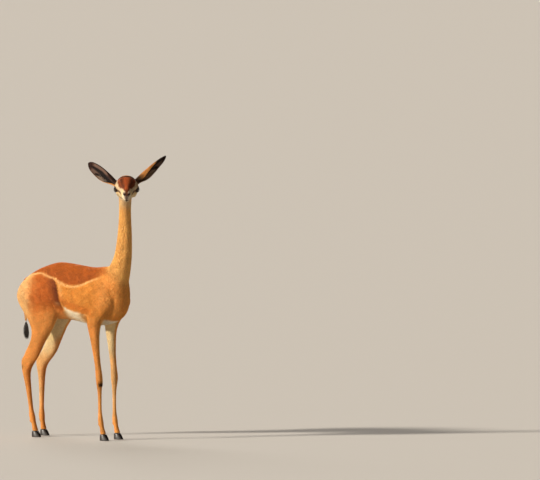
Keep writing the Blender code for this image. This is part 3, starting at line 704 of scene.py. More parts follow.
def faced(colours, places, facing, head):
    """The markings of the face, from the middle of the eyes."""
    forward, left, up = on_head(places).T
    out = np.abs(left)
    wave = wandering(places, 0.018, 5) * 0.0012 + wandering(places, 0.006, 6) * 0.0006
    face = colours.copy()
    face[:] = FAWN
    # cream muzzle, lips, chin and cheeks, white chin
    painted(face, step(0.000, 0.045, forward), CREAM)
    painted(face, 0.85 * step(-0.008, -0.022, up) * step(-0.03, 0.00, forward), WHITE)
    painted(face, 0.8 * step(0.085, 0.100, forward), WHITE)
    painted(face, 0.55 * step(-0.012, 0.000, forward) * step(0.002, -0.006, up), CREAM)
    # the streak from the eye towards the nose, darkest over the gland
    down = 0.004 - 0.11 * (forward - 0.020)
    streak = hump(up - down, 0, 0.0048) * step(0.006, 0.018, forward) * step(0.085, 0.045, forward)
    painted(face, 0.72 * streak * step(0.012, 0.017, out), BLAZE_EDGE)
    gland = ((forward - GLAND[0]) / 0.010) ** 2 + ((up - GLAND[1]) / 0.0032) ** 2
    painted(face, 0.85 * np.exp(-gland) * step(0.014, 0.019, out), DARK)
    # spectacles: cream bands from the ear's root over the eye and down beside the blaze
    half = along_table(forward, BLAZE_HALF_WIDTH, 0.006) + 0.6 * wave
    over = step(0.001, 0.008, up - 0.16 * np.clip(-forward, 0, 1) - 0.05 * forward)
    glasses = over * step(-0.044, -0.032, forward) * step(0.078, 0.060, forward)
    painted(face, 0.95 * glasses, SPECTACLE)
    painted(face, 0.5 * glasses * hump(out - half, 0.004, 0.005), WHITE)
    # the blaze: bright down the middle, brown at its sides above and at its edges below
    top = step(0.004, 0.012, up - 0.10 * np.clip(forward, 0, 1))
    blaze = step(half + 0.0024, half - 0.0026, out) * top
    painted(face, blaze, BLAZE)
    sides = hump(out - 0.6 * half, 0.001, 0.24 * half + 0.0015) * step(0.085, 0.05, forward)
    painted(face, 0.8 * blaze * sides * step(-0.030, -0.008, forward), BLAZE_EDGE)
    rim = hump(out - half, -0.0015, 0.0022) * top
    painted(face, 0.6 * rim * step(-0.02, 0.0, forward) * step(0.11, 0.09, forward), BLAZE_EDGE)
    painted(face, 0.45 * blaze * step(0.070, 0.095, forward), BLAZE_EDGE)
    # the crown's dark band and the hind head
    painted(face, step(-0.034, -0.044, forward), FLANK)
    crown = hump(forward + wave + 0.1 * out, -0.031, 0.0078, 4)
    painted(face, 0.92 * crown * step(0.048, 0.038, out) * step(0.008, 0.020, up), DARK)
    # the bare grey nose, its nostrils and its groove
    pad = step(0.1095, 0.1135, forward + 0.30 * (up - 0.012))
    pad *= step(0.0085, 0.0060, out - 0.2 * (up - 0.006))
    painted(face, 0.85 * pad * step(-0.002, 0.001, up) * step(0.030, 0.026, up), NOSE)
    bridge = (left / 0.0135) ** 2 + ((up - NOSTRIL[1] - 0.0005) / 0.0052) ** 2
    painted(face, 0.85 * np.exp(-(bridge**2)) * step(0.092, 0.100, forward), BLAZE_EDGE)
    slot = ((out - NOSTRIL[0]) / 0.0056) ** 2 + ((up - NOSTRIL[1]) / 0.0042) ** 2
    painted(face, 0.96 * np.exp(-(slot**2)) * step(0.088, 0.096, forward), DARK)
    groove = hump(left, 0, 0.0013) * step(0.108, 0.112, forward) * step(0.022, 0.016, up)
    painted(face, 0.8 * groove, DARK)
    # the mouth's line, darkest in front
    over_line = up - mouth_line(forward)
    lips = step(MOUTH_CORNER - 0.004, MOUTH_CORNER + 0.006, forward)
    painted(face, 0.7 * lips * hump(over_line, 0, 0.0013), DARK)
    mouth = (left / 0.0062) ** 2 + ((over_line - 0.0008) / 0.0036) ** 2
    painted(face, 0.9 * np.exp(-(mouth**2)) * step(0.104, 0.110, forward), DARK)
    for side in SIDES.values():
        share, distance = eye_opening(places, side)
        near = step(EYE_RADIUS + 0.010, EYE_RADIUS + 0.005, distance)
        painted(face, near * step(1.85, 1.40, share + wave * 60), DARK)
        centre, along, above, outwards = eye_frame(side)
        ahead, lift = (places - centre) @ along, (places - centre) @ above
        corner = hump(ahead, 0.0175, 0.0058) * hump(lift, -0.0012, 0.0030)
        painted(face, 0.9 * corner * step(0.02, 0.015, np.abs(distance - 0.0155)), DARK)
    return colours + head[:, None] * (face - colours)


# the black streak in each ear: how low it lies and half its width at each share of the length, and
# the shares and places of its branch
EAR_STREAK = ((0, 0.21, 0.40, 0.55, 0.70, 0.85), (0.0160, 0.0135, 0.0080, 0.0030, 0.0025, 0.0030))
EAR_STREAK_WIDTH = ((0, 0.25, 0.5, 0.7, 0.9), (0.0070, 0.0096, 0.0094, 0.0070, 0.0040))
EAR_HALF_WIDTH = 0.028
EAR_BRANCH = [(0.64, 0.019), (0.53, 0.015), (0.42, 0.009)]


def eared(colours, places, facing, ear):
    """The markings of the ears: golden backs, grey insides, dark streaks, upper rims and tips, and
    painted sunlight inside the left ear.
    """
    for name in SIDES:
        along, across, point, opening, sideways, root = ear_share(places, name)
        on_axis = root + np.outer(along * EAR_LENGTH, point)
        mine = step(-0.25, -0.10, along) * step(0.060, 0.045, np.linalg.norm(places - on_axis, axis=1))
        inner = step(-0.0005, 0.0015, ((on_axis + opening * 0.012 - places) * facing).sum(1))
        low = across if sideways[2] < 0 else -across
        rim = EAR_HALF_WIDTH * np.sqrt(np.clip(1 - (np.clip(along, 0, 1) * 1.6 - 0.75) ** 2, 0.05, 1))
        upper_rim = step(-rim + 0.007, -rim + 0.004, low)
        shade = colours.copy()
        shade[:] = EAR_BACK
        painted(shade, step(0.62, 0.95, along), EAR_TIP)
        painted(shade, 0.9 * step(-rim + 0.010, -rim + 0.005, low), DARK)
        inside = colours.copy()
        inside[:] = EAR_INSIDE
        painted(inside, 0.3 * step(0.010, 0.022, low) * step(0.75, 0.5, along), CREAM)
        middle, wide = np.interp(along, *EAR_STREAK), np.interp(along, *EAR_STREAK_WIDTH)
        streak = hump(low, middle, wide, 4) * step(0.0, 0.06, along)
        flat = np.stack([along * EAR_LENGTH, low, 0 * low], 1)
        path = [(share * EAR_LENGTH, across_, 0) for share, across_ in EAR_BRANCH]
        branch = hump(beside_path(flat, path), 0, 0.0042, 4)
        painted(inside, 0.97 * np.maximum(streak, branch), DARK)
        painted(inside, 0.9 * upper_rim, DARK)
        painted(inside, 0.8 * step(rim - 0.006, rim - 0.002, low) * step(0.2, 0.4, along), EAR_TIP)
        painted(inside, step(0.78, 0.90, along), EAR_TIP)
        shade += inner[:, None] * (inside - shade)
        if name == "right":
            fold = step(0.40, 0.28, along) * step(0.006, -0.002, low)
            painted(shade, 0.9 * fold * step(-0.6, -0.1, facing @ opening), EAR_TIP)
        else:
            # painted sunlight: the upper strip of the left ear's inner wall, where the sun falls into
            # the cup, takes the golden colour of the ear's back
            sunlit_wall = step(0.004, -0.003, low) * step(0.14, 0.26, along) * step(0.72, 0.60, along)
            painted(shade, 0.9 * sunlit_wall, EAR_BACK)
            painted(shade, 0.5 * step(-0.001, 0.006, low) * step(0.55, 0.30, along), FAWN)
        reach = 0.16 if name == "right" else 0.24
        painted(shade, 0.8 * step(reach, 0.05, along) * step(0.006, -0.006, low), DARK)
        colours = colours + (ear * mine)[:, None] * (shade - colours)
    return colours


def coloured(mesh, colours):
    layer = mesh.color_attributes.new("coat", "FLOAT_COLOR", "POINT")
    solid = np.column_stack([colours, np.ones(len(colours))])
    layer.data.foreach_set("color", solid.astype(np.float32).ravel())


hide_places, hide_facing = places_of(hide.data), directions_of(hide.data)
hide_colours = markings(hide_places, hide_facing, kind_shares)
coloured(hide.data, hide_colours * UNDER_COAT)


def node_tree(name):
    made = bpy.data.materials.new(name)
    made.use_nodes = True
    return made, made.node_tree.nodes, made.node_tree.links, made.node_tree.nodes["Principled BSDF"]


def short_hair(name, roughness, grain, depth):
    """Short lying hair: its colour from the markings, streaked and roughened by fine noise."""
    made, nodes, links, shader = node_tree(name)
    paint = nodes.new("ShaderNodeAttribute")
    paint.attribute_name = "coat"
    spot = nodes.new("ShaderNodeTexCoord")
    noise = nodes.new("ShaderNodeTexNoise")
    noise.inputs["Scale"].default_value = grain
    noise.inputs["Detail"].default_value = 3
    links.new(spot.outputs["Object"], noise.inputs["Vector"])
    shade = nodes.new("ShaderNodeMapRange")
    shade.inputs["From Min"].default_value = 0.3
    shade.inputs["From Max"].default_value = 0.7
    shade.inputs["To Min"].default_value = 0.86
    shade.inputs["To Max"].default_value = 1.10
    links.new(noise.outputs["Fac"], shade.inputs["Value"])
    tint = nodes.new("ShaderNodeVectorMath")
    tint.operation = "SCALE"
    links.new(paint.outputs["Color"], tint.inputs[0])
    links.new(shade.outputs["Result"], tint.inputs["Scale"])
    links.new(tint.outputs["Vector"], shader.inputs["Base Color"])
    bump = nodes.new("ShaderNodeBump")
    bump.inputs["Distance"].default_value = depth
    bump.inputs["Strength"].default_value = 0.5
    links.new(noise.outputs["Fac"], bump.inputs["Height"])
    links.new(bump.outputs["Normal"], shader.inputs["Normal"])
    shader.inputs["Roughness"].default_value = roughness
    shader.inputs["Specular IOR Level"].default_value = 0.25
    return made


hide.data.materials.append(short_hair("hide", roughness=0.75, grain=900, depth=0.0006))
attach(hide, "root")
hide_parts(*FLESH)

# The coat. Short hair lies flat over the whole hide, in tufts as small solid spindles: rooted in
# the skin, thickest near the middle, bent over it along the lie of the coat and lifted a little at
# the tip.

# How many times over the tufts would cover the skin, the share of its length times its width that
# a tuft covers, and for each kind of flesh a tuft's length, width and lift.
COAT_COVER = 1.2
TUFT_FULLNESS = 0.55
TUFTS_IN_A_PIECE = 32_500
TUFT_LENGTH = np.array([0.0105, 0.0090, 0.0042, 0.0150, 0.0068, 0.0065])
TUFT_WIDTH = np.array([0.00125, 0.00100, 0.00060, 0.00110, 0.00085, 0.00065])
TUFT_LIFT = np.array([0.0012, 0.0010, 0.0006, 0.0014, 0.0008, 0.0007])
TUFT_THICKEST = 0.42
TUFT_ROOT_DEPTH = 0.0004
LIE_SCATTER, SHADE_SCATTER = 0.16, 0.07
# How much shorter and flatter the shanks' hair is, how much longer and higher the fore knee's
# brush, and where that is.
SHANK_SHORTER, SHANK_FLATTER = 0.28, 0.55
BRUSH_LONGER, BRUSH_HIGHER = 1.3, 2.2
BRUSH_MIDDLE, BRUSH_HALF = (-0.004, 0.249), (0.010, 0.011)


def coat_lie(places, facing, shares):
    """The way the hair points at each place, along the skin."""
    torso, neck, head, tail, leg, ear = shares.T
    x, y, z = (places - np.array(hooves_middle)).T
    lie = torso[:, None] * np.array((-1, 0, -0.30))
    lie += neck[:, None] * np.array((-0.12, 0, -1))
    lie += leg[:, None] * np.array((-0.20, 0, -1))
    lie += tail[:, None] * np.array((0, 0, -1.0))
    haunch = torso * step(-0.30, -0.36, x) * step(0.66, 0.60, z)
    lie += haunch[:, None] * (np.array((-0.35, 0, -1)) - lie)
    shoulder = torso * step(-0.08, 0.0, x) * step(0.70, 0.64, z)
    lie += shoulder[:, None] * (np.array((-0.35, 0, -1)) - lie)
    back = -np.array(head_turn.col[0]) - 0.25 * np.array(head_turn.col[2])
    lie += head[:, None] * back
    for name in SIDES:
        along, across, point, opening, sideways, root = ear_share(places, name)
        off_axis = places - root - np.outer(along * EAR_LENGTH, point)
        mine = step(0.060, 0.045, np.linalg.norm(off_axis, axis=1))
        lie += (ear * mine)[:, None] * point
    lie -= facing * (lie * facing).sum(1)[:, None]
    return lie / np.maximum(np.linalg.norm(lie, axis=1), 1e-6)[:, None]


corners = np.empty(len(hide.data.polygons) * 3, np.int32)
hide.data.polygons.foreach_get("vertices", corners)
corners = corners.reshape(-1, 3)
a, b, c = (hide_places[corners[:, i]] for i in range(3))
areas = np.linalg.norm(np.cross(b - a, c - a), axis=1) / 2
triangle_shares = kind_shares[corners].mean(1)
triangle_middles = (a + b + c) / 3
tuft_area = (triangle_shares @ TUFT_LENGTH) * (triangle_shares @ TUFT_WIDTH) * TUFT_FULLNESS
# bare are the lids' edges, the tip of the nose and the skin inside the hooves
bare = np.zeros(len(areas))
for side in SIDES.values():
    share, distance = eye_opening(triangle_middles, side)
    on_lid = step(EYE_RADIUS + 0.010, EYE_RADIUS + 0.006, distance)
    bare = np.maximum(bare, step(1.35, 1.2, share) * on_lid)
forward, left, up = on_head(triangle_middles).T
nose = step(0.112, 0.115, forward) * step(0.009, 0.007, np.abs(left)) * step(-0.001, 0.001, up)
bare = np.maximum(bare, triangle_shares[:, KINDS.index("head")] * nose)
in_hoof = step(0.020, 0.017, triangle_middles[:, 2])
bare = np.maximum(bare, triangle_shares[:, KINDS.index("leg")] * in_hoof)
cover = areas * COAT_COVER / tuft_area * (1 - bare)
chance = np.random.default_rng(11)
tuft_counts = chance.poisson(cover)
triangle_of = np.repeat(np.arange(len(areas)), tuft_counts)
weights = chance.dirichlet((1, 1, 1), len(triangle_of))
roots = (hide_places[corners[triangle_of]] * weights[:, :, None]).sum(1)
root_facing = (hide_facing[corners[triangle_of]] * weights[:, :, None]).sum(1)
root_facing /= np.linalg.norm(root_facing, axis=1)[:, None]
root_shares = (kind_shares[corners[triangle_of]] * weights[:, :, None]).sum(1)
hair_way = coat_lie(roots, root_facing, root_shares)
hair_side = np.cross(root_facing, hair_way)
turn = chance.normal(0, LIE_SCATTER, len(roots))
hair_way, hair_side = (
    hair_way * np.cos(turn)[:, None] + hair_side * np.sin(turn)[:, None],
    hair_side * np.cos(turn)[:, None] - hair_way * np.sin(turn)[:, None],
)
length = (root_shares @ TUFT_LENGTH) * chance.uniform(0.75, 1.2, len(roots))
width = (root_shares @ TUFT_WIDTH) * chance.uniform(0.8, 1.2, len(roots))
lift = (root_shares @ TUFT_LIFT) * chance.uniform(0.4, 1.2, len(roots))
# shorter on the shanks, and brushes on the fore knees
place = roots - np.array(hooves_middle)
of_shank = root_shares[:, KINDS.index("leg")] * step(0.26, 0.12, place[:, 2])
length *= 1 - SHANK_SHORTER * of_shank
lift *= 1 - SHANK_FLATTER * of_shank
off_brush = (((place[:, [0, 2]] - BRUSH_MIDDLE) / BRUSH_HALF) ** 2).sum(1)
brush = np.exp(-(off_brush**2)) * step(0.2, 0.7, root_facing[:, 0])
length *= 1 + BRUSH_LONGER * brush
lift *= 1 + BRUSH_HIGHER * brush
skin = BVHTree.FromPolygons(hide_places.tolist(), corners.tolist())


def over_skin(places, heights):
    """The places laid on the skin and raised by the given heights, and the way it faces there."""
    found = [skin.find_nearest(place)[:2] for place in places.tolist()]
    spots, facing = (np.array([pair[k] for pair in found]) for k in (0, 1))
    return spots + facing * heights[:, None], facing


depth = lift * 0.45 + 0.0003
start = roots - root_facing * TUFT_ROOT_DEPTH
middle, middle_facing = over_skin(roots + hair_way * (length * TUFT_THICKEST)[:, None], lift * 0.30)
tip, _ = over_skin(roots + hair_way * length[:, None], lift)
tuft_points = np.stack(
    [
        start,
        middle + hair_side * (width / 2)[:, None],
        middle - hair_side * (width / 2)[:, None],
        middle + middle_facing * depth[:, None],
        tip,
    ],
    axis=1,
)
TUFT_FACES = np.array([(0, 1, 3), (0, 3, 2), (0, 2, 1), (4, 3, 1), (4, 2, 3), (4, 1, 2)])
tuft_colours = markings(roots, root_facing, root_shares)
tuft_colours *= chance.normal(1, SHADE_SCATTER, len(roots))[:, None]
# a tuft is darkest at its root and palest at its tip
TUFT_SHADES = np.array([0.88, 0.97, 0.97, 1.0, 1.05])
tuft_paint = np.clip(tuft_colours[:, None, :] * TUFT_SHADES[None, :, None], 0, 1)

# the unwrap of the skin, where each tuft has its small patch at its root, for the baked colours
bpy.context.view_layer.objects.active = hide
hide.select_set(True)
bpy.ops.object.mode_set(mode="EDIT")
bpy.ops.mesh.select_all(action="SELECT")
bpy.ops.uv.smart_project(angle_limit=radians(75), island_margin=0.002)
bpy.ops.object.mode_set(mode="OBJECT")
hide.data.uv_layers[0].name = "OFBake"
unwrap = np.empty(len(hide.data.loops) * 2, np.float32)
hide.data.uv_layers["OFBake"].data.foreach_get("uv", unwrap)
unwrap = unwrap.reshape(-1, 3, 2)
root_spots = (unwrap[triangle_of] * weights[:, :, None]).sum(1)
TUFT_PATCH = 0.003
patch = np.array([(0, -0.5), (-0.35, 0), (0.35, 0), (0.1, 0.1), (0, 0.5)]) * TUFT_PATCH
root_spots = np.clip(root_spots, TUFT_PATCH, 1 - TUFT_PATCH)

coat_finish = short_hair("coat_hair", roughness=0.62, grain=1500, depth=0.0002)
COAT_PIECES = (
    ("coat_head", ("head",)),
    ("coat_ears", ("ear",)),
    ("coat_neck", ("neck",)),
    ("coat_legs", ("leg",)),
    ("coat_trunk", ("torso", "tail")),
)
kind_at_root = root_shares.argmax(1)
for name, kinds in COAT_PIECES:
    mine = np.flatnonzero(np.isin(kind_at_root, [KINDS.index(kind) for kind in kinds]))
    pieces = int(np.ceil(len(mine) / TUFTS_IN_A_PIECE))
    mine = mine[np.argsort(roots[mine] @ np.array((0.3, 0.0, 1.0)), kind="stable")]
    for number, part in enumerate(np.array_split(mine, pieces)):
        mesh = bpy.data.meshes.new(f"{name}_{number + 1}")
        count = len(part)
        mesh.vertices.add(5 * count)
        mesh.vertices.foreach_set("co", tuft_points[part].astype(np.float32).ravel())
        faces = (TUFT_FACES[None] + 5 * np.arange(count)[:, None, None]).reshape(-1, 3)
        mesh.loops.add(faces.size)
        mesh.loops.foreach_set("vertex_index", faces.astype(np.int32).ravel())
        mesh.polygons.add(len(faces))
        mesh.polygons.foreach_set("loop_start", np.arange(0, faces.size, 3, dtype=np.int32))
        mesh.update(calc_edges=True)
        mesh.validate()
        spots = (root_spots[part][:, None, :] + patch[None])[:, TUFT_FACES.ravel(), :]
        mesh.uv_layers.new(name="OFBake").data.foreach_set("uv", spots.astype(np.float32).ravel())
        coloured(mesh, tuft_paint[part].reshape(-1, 3))
        mesh.materials.append(coat_finish)
        mesh.shade_smooth()
        piece = add_piece(f"{name}_{number + 1}", mesh)
        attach(piece, "root")

# The eyes. They are large, brown and wet in life, with a long level pupil. Each is a ball of
# painted glass with a slight bulge in front, set in its socket behind the lids.
EYE_RINGS, EYE_STEPS = 20, 40
EYE_WRAP = 0.62 * pi
BULGE, BULGE_REACH = 0.0010, 0.55
PUPIL_HALF_LENGTH, PUPIL_HALF_HEIGHT, IRIS_RADIUS = 0.0062, 0.0031, 0.0105
IRIS_BROWN = (0.020, 0.0075, 0.003)


def eyeball(name, side):
    centre, along, up, out = eye_frame(side)
    body = bmesh.new()
    rings = []
    for ring in range(EYE_RINGS + 1):
        angle = EYE_WRAP * ring / EYE_RINGS
        bulge = EYE_RADIUS + BULGE * hump(angle, 0, BULGE_REACH)
        points = []
        for turn in range(EYE_STEPS):
            around = 2 * pi * turn / EYE_STEPS
            flat = along * cos(around) + up * sin(around)
            points.append(body.verts.new(centre + bulge * (out * cos(angle) + flat * sin(angle))))
            if ring == 0:
                break
        rings.append(points)
    for low, high in zip(rings, rings[1:]):
        for turn in range(EYE_STEPS):
            other = (turn + 1) % EYE_STEPS
            if len(low) == 1:
                body.faces.new((low[0], high[turn], high[other]))
            else:
                body.faces.new((low[turn], high[turn], high[other], low[other]))
    body.faces.new(list(reversed(rings[-1])))
    body.normal_update()
    bmesh.ops.recalc_face_normals(body, faces=body.faces)
    mesh = bpy.data.meshes.new(name)
    body.to_mesh(mesh)
    body.free()
    mesh.shade_smooth()
    away = places_of(mesh) - centre
    long, high = away @ along, away @ up
    pupil = (np.abs(long) / PUPIL_HALF_LENGTH) ** 2.4 + (np.abs(high) / PUPIL_HALF_HEIGHT) ** 2.4
    iris = np.hypot(long, high) / IRIS_RADIUS
    brown = np.array(IRIS_BROWN) * (1 + 1.2 * step(0.4, 0.95, iris))[:, None]
    brown = brown * step(1.15, 0.95, iris)[:, None] + 0.002
    coloured(mesh, brown * step(0.8, 1.3, pupil)[:, None] + 0.001)
    return add_piece(name, mesh)


glass, nodes, links, shader = node_tree("glass_eye")
paint = nodes.new("ShaderNodeAttribute")
paint.attribute_name = "coat"
links.new(paint.outputs["Color"], shader.inputs["Base Color"])
shader.inputs["Roughness"].default_value = 0.05
shader.inputs["Specular IOR Level"].default_value = 0.35
for name, side in SIDES.items():
    ball = eyeball(f"glass_eye_{name}", side)
    ball.data.materials.append(glass)
    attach(ball, "root")
    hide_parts(f"eye_{name}")

# The hooves. Each foot has two small pointed claws of black horn, faintly ringed where they grew.
# A claw is flat on its inner side, slopes forwards to the toe, and sits under the hide's edge.
FEET = [f"{leg}hoof_{side}" for leg in ("fore", "hind") for side in SIDES]
HOOF_NODES = [f"{foot}_{part}" for foot in FEET for part in ("outer", "inner")]
# at shares of the height: how far the toe reaches forward and the heel back, and the width
HOOF_SHARES = (0.00, 0.10, 0.45, 0.85, 1.00)
HOOF_TOE = (0.0315, 0.0310, 0.0245, 0.0165, 0.0130)
HOOF_HEEL = (0.0112, 0.0120, 0.0128, 0.0130, 0.0128)
HOOF_WIDTH = (0.0142, 0.0146, 0.0140, 0.0128, 0.0112)
HOOF_STEPS, HOOF_LEVELS = 36, 22
HOOF_RINGS, HOOF_RING_DEPTH = 7.3, 0.00022


def claw(name, node):
    low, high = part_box(node)
    top_x = low.x + max(HOOF_HEEL)
    outwards = 1 if ("left" in node) == ("outer" in node) else -1
    inner_y = low.y if outwards > 0 else high.y
    body = bmesh.new()
    rings = []
    for level in range(HOOF_LEVELS + 1):
        share = 1 - level / HOOF_LEVELS
        toe, heel, width = (
            float(np.interp(share, HOOF_SHARES, row)) for row in (HOOF_TOE, HOOF_HEEL, HOOF_WIDTH)
        )
        groove = 0
        if 0.05 < share < 0.98:
            groove = HOOF_RING_DEPTH * (0.5 + 0.5 * cos(2 * pi * share * HOOF_RINGS))
        ring = []
        for i in range(HOOF_STEPS):
            angle = 2 * pi * (i + 0.5) / HOOF_STEPS
            reach = (toe if cos(angle) > 0 else heel) - groove
            narrow = 1 - 0.55 * max(cos(angle), 0) ** 2 * (1 - 0.6 * share)
            bow = (0.5 + 0.5 * sin(angle)) * (width - groove) * narrow
            height = share * (high.z - low.z) + low.z
            ring.append(body.verts.new((top_x + reach * cos(angle), inner_y + outwards * bow, height)))
        rings.append(ring)
    for first, second in zip(rings, rings[1:]):
        for i in range(HOOF_STEPS):
            j = (i + 1) % HOOF_STEPS
            body.faces.new((first[i], first[j], second[j], second[i]))
    body.faces.new(rings[0])
    body.faces.new(rings[-1])
    bmesh.ops.recalc_face_normals(body, faces=body.faces)
    mesh = bpy.data.meshes.new(name)
    body.to_mesh(mesh)
    body.free()
    mesh.shade_smooth()
    return add_piece(name, mesh)


horn, nodes, links, shader = node_tree("hoof_horn")
spot = nodes.new("ShaderNodeTexCoord")
noise = nodes.new("ShaderNodeTexNoise")
noise.inputs["Scale"].default_value = 220
noise.inputs["Detail"].default_value = 5
stretch = nodes.new("ShaderNodeMapping")
stretch.inputs["Scale"].default_value = (1, 1, 0.25)
links.new(spot.outputs["Object"], stretch.inputs["Vector"])
links.new(stretch.outputs["Vector"], noise.inputs["Vector"])
ramp = nodes.new("ShaderNodeValToRGB")
ramp.color_ramp.elements[0].position = 0.3
ramp.color_ramp.elements[0].color = (0.012, 0.009, 0.008, 1)
ramp.color_ramp.elements[1].position = 0.75
ramp.color_ramp.elements[1].color = (0.030, 0.022, 0.017, 1)
links.new(noise.outputs["Fac"], ramp.inputs["Fac"])
links.new(ramp.outputs["Color"], shader.inputs["Base Color"])
bump = nodes.new("ShaderNodeBump")
bump.inputs["Distance"].default_value = 0.0004
bump.inputs["Strength"].default_value = 0.4
links.new(noise.outputs["Fac"], bump.inputs["Height"])
links.new(bump.outputs["Normal"], shader.inputs["Normal"])
shader.inputs["Roughness"].default_value = 0.38
for node in HOOF_NODES:
    piece = claw(f"claw_{node.replace('hoof', '')}", node)
    piece.data.materials.append(horn)
    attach(piece, "root")
    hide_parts(node)

# The tail's tuft. Black hairs as long as a finger stand off the end of the tail in fine locks.
# Each lock is a tapered flat strand, rooted on the tail's core and bent down and back in.
TUFT_LOCKS = 360
LOCK_STEPS, LOCK_SIDES = 6, 4
LOCK_THINNEST = 0.0001
CORE_START, CORE_LENGTH, CORE_RADIUS = 0.003, 0.040, 0.0016
CORE_LEAN = ((0.455, 0.53), (-0.520, -0.530))
LOCK_LENGTH, LOCK_SHORTER, LOCK_WIDTH, LOCK_THICKNESS = 0.057, 0.022, 0.0024, 0.0009


def locks_piece(name, rows, look):
    """Tapered flat locks. A row: root, way out, broad side, bend, length, width and thickness."""
    points, faces, spots = [], [], []
    for root, way, flat, bend, long, wide, thick in rows:
        start = len(points)
        under_root = unwrap[skin.find_nearest(root)[2]].mean(0)
        patch_middle = np.clip(under_root, TUFT_PATCH, 1 - TUFT_PATCH)
        for k in range(LOCK_STEPS):
            t = k / LOCK_STEPS
            middle = root + way * (t * long) + bend * (t * t * long)
            along = (way + bend * (2 * t)).normalized()
            across = along.cross(flat).normalized()
            half = max(wide * (0.75 + 0.9 * t) * (1 - t) ** 0.8 / 2, LOCK_THINNEST)
            deep = across.cross(along) * max(thick * (1 - 0.7 * t) / 2, 0.00008)
            points += [middle + across * half, middle + deep, middle - across * half, middle - deep]
            for u in (0.4, 0.1, -0.4, -0.1):
                spots.append(patch_middle + TUFT_PATCH * np.array((u, t - 0.5)))
            if k:
                for j in range(LOCK_SIDES):
                    near, far = start + (k - 1) * LOCK_SIDES, start + k * LOCK_SIDES
                    turn = (j + 1) % LOCK_SIDES
                    faces.append((near + j, near + turn, far + turn, far + j))
        points.append(root + way * long + bend * long)
        spots.append(patch_middle + TUFT_PATCH * np.array((0, 0.5)))
        tip = len(points) - 1
        last = tip - LOCK_SIDES
        faces += [(last + j, last + (j + 1) % LOCK_SIDES, tip) for j in range(LOCK_SIDES)]
        faces.append(tuple(start + j for j in range(LOCK_SIDES))[::-1])
    mesh = bpy.data.meshes.new(name)
    mesh.from_pydata(points, [], faces)
    mesh.validate()
    corner_points = np.empty(len(mesh.loops), np.int32)
    mesh.loops.foreach_get("vertex_index", corner_points)
    spots = np.array(spots)[corner_points].astype(np.float32)
    mesh.uv_layers.new(name="OFBake").data.foreach_set("uv", spots.ravel())
    mesh.shade_smooth()
    mesh.materials.append(look)
    made = add_piece(name, mesh)
    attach(made, "root")
    return made


def loose_hair(name, dark, pale):
    """Smooth strands of hair, from dark to pale by fine noise."""
    made, nodes, links, shader = node_tree(name)
    spot = nodes.new("ShaderNodeTexCoord")
    noise = nodes.new("ShaderNodeTexNoise")
    noise.inputs["Scale"].default_value = 600
    links.new(spot.outputs["Object"], noise.inputs["Vector"])
    ramp = nodes.new("ShaderNodeValToRGB")
    ramp.color_ramp.elements[0].color = (*dark, 1)
    ramp.color_ramp.elements[1].color = (*pale, 1)
    links.new(noise.outputs["Fac"], ramp.inputs["Fac"])
    links.new(ramp.outputs["Color"], shader.inputs["Base Color"])
    shader.inputs["Roughness"].default_value = 0.5
    return made


tuft_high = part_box("tail_tuft")[1].z
chance = np.random.default_rng(5)
rows = []
for _ in range(TUFT_LOCKS):
    share = chance.uniform(0, 1) ** 0.8
    height = tuft_high - CORE_START - CORE_LENGTH * share
    angle = chance.uniform(0, 2 * pi)
    out = Vector((cos(angle), sin(angle), 0))
    shift = float(np.interp(height, *CORE_LEAN))
    core = Vector((hooves_middle.x + shift, hooves_middle.y, height))
    spread = 0.66 - 0.24 * share + chance.uniform(-0.22, 0.08)
    way = (Vector((0, 0, -1)) + out * spread).normalized()
    bend = Vector((0, 0, -0.12)) - out * spread * chance.uniform(0.45, 0.85)
    long = (LOCK_LENGTH - LOCK_SHORTER * share) * chance.uniform(0.78, 1.10)
    wide = LOCK_WIDTH * chance.uniform(0.7, 1.3)
    rows.append((core + out * CORE_RADIUS, way, out, bend, long, wide, LOCK_THICKNESS))
black = loose_hair("black_hair", (0.005, 0.004, 0.003), (0.022, 0.014, 0.010))
tuft = locks_piece("tail_locks", rows, black)
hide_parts("tail_tuft")

# The lashes. A row of stiff black hairs stands along the edge of each upper lid, curving out and
# down. They are fine strands of the same hair as the tail's, set one by one into the lid.
LASH_COUNT = 30
LASH_LENGTH, LASH_WIDTH, LASH_THICKNESS = 0.0052, 0.00042, 0.0003
LASH_OUT = 0.0011
for name, side in SIDES.items():
    centre, along, up, out = (Vector(part) for part in eye_frame(side))
    rows = []
    for i in range(LASH_COUNT):
        across = 0.92 * (2 * (i + 0.5) / LASH_COUNT - 1)
        high = LID_LIFTS[0] * (1 - across * across) ** 0.75
        spot = (along * (across * LID_HALF_LENGTH) + up * (high + 0.0006)) / EYE_RADIUS
        ahead = out * (1 - min(spot.length_squared, 0.9)) ** 0.5
        root = centre + (ahead + spot) * (EYE_RADIUS + LASH_OUT)
        way = (out + up * 0.55 + along * (0.35 * across + chance.uniform(-0.12, 0.12))).normalized()
        long = LASH_LENGTH * chance.uniform(0.75, 1.1)
        rows.append((root, way, up, up * -0.22, long, LASH_WIDTH, LASH_THICKNESS))
    lashes = locks_piece(f"lashes_{name}", rows, black)

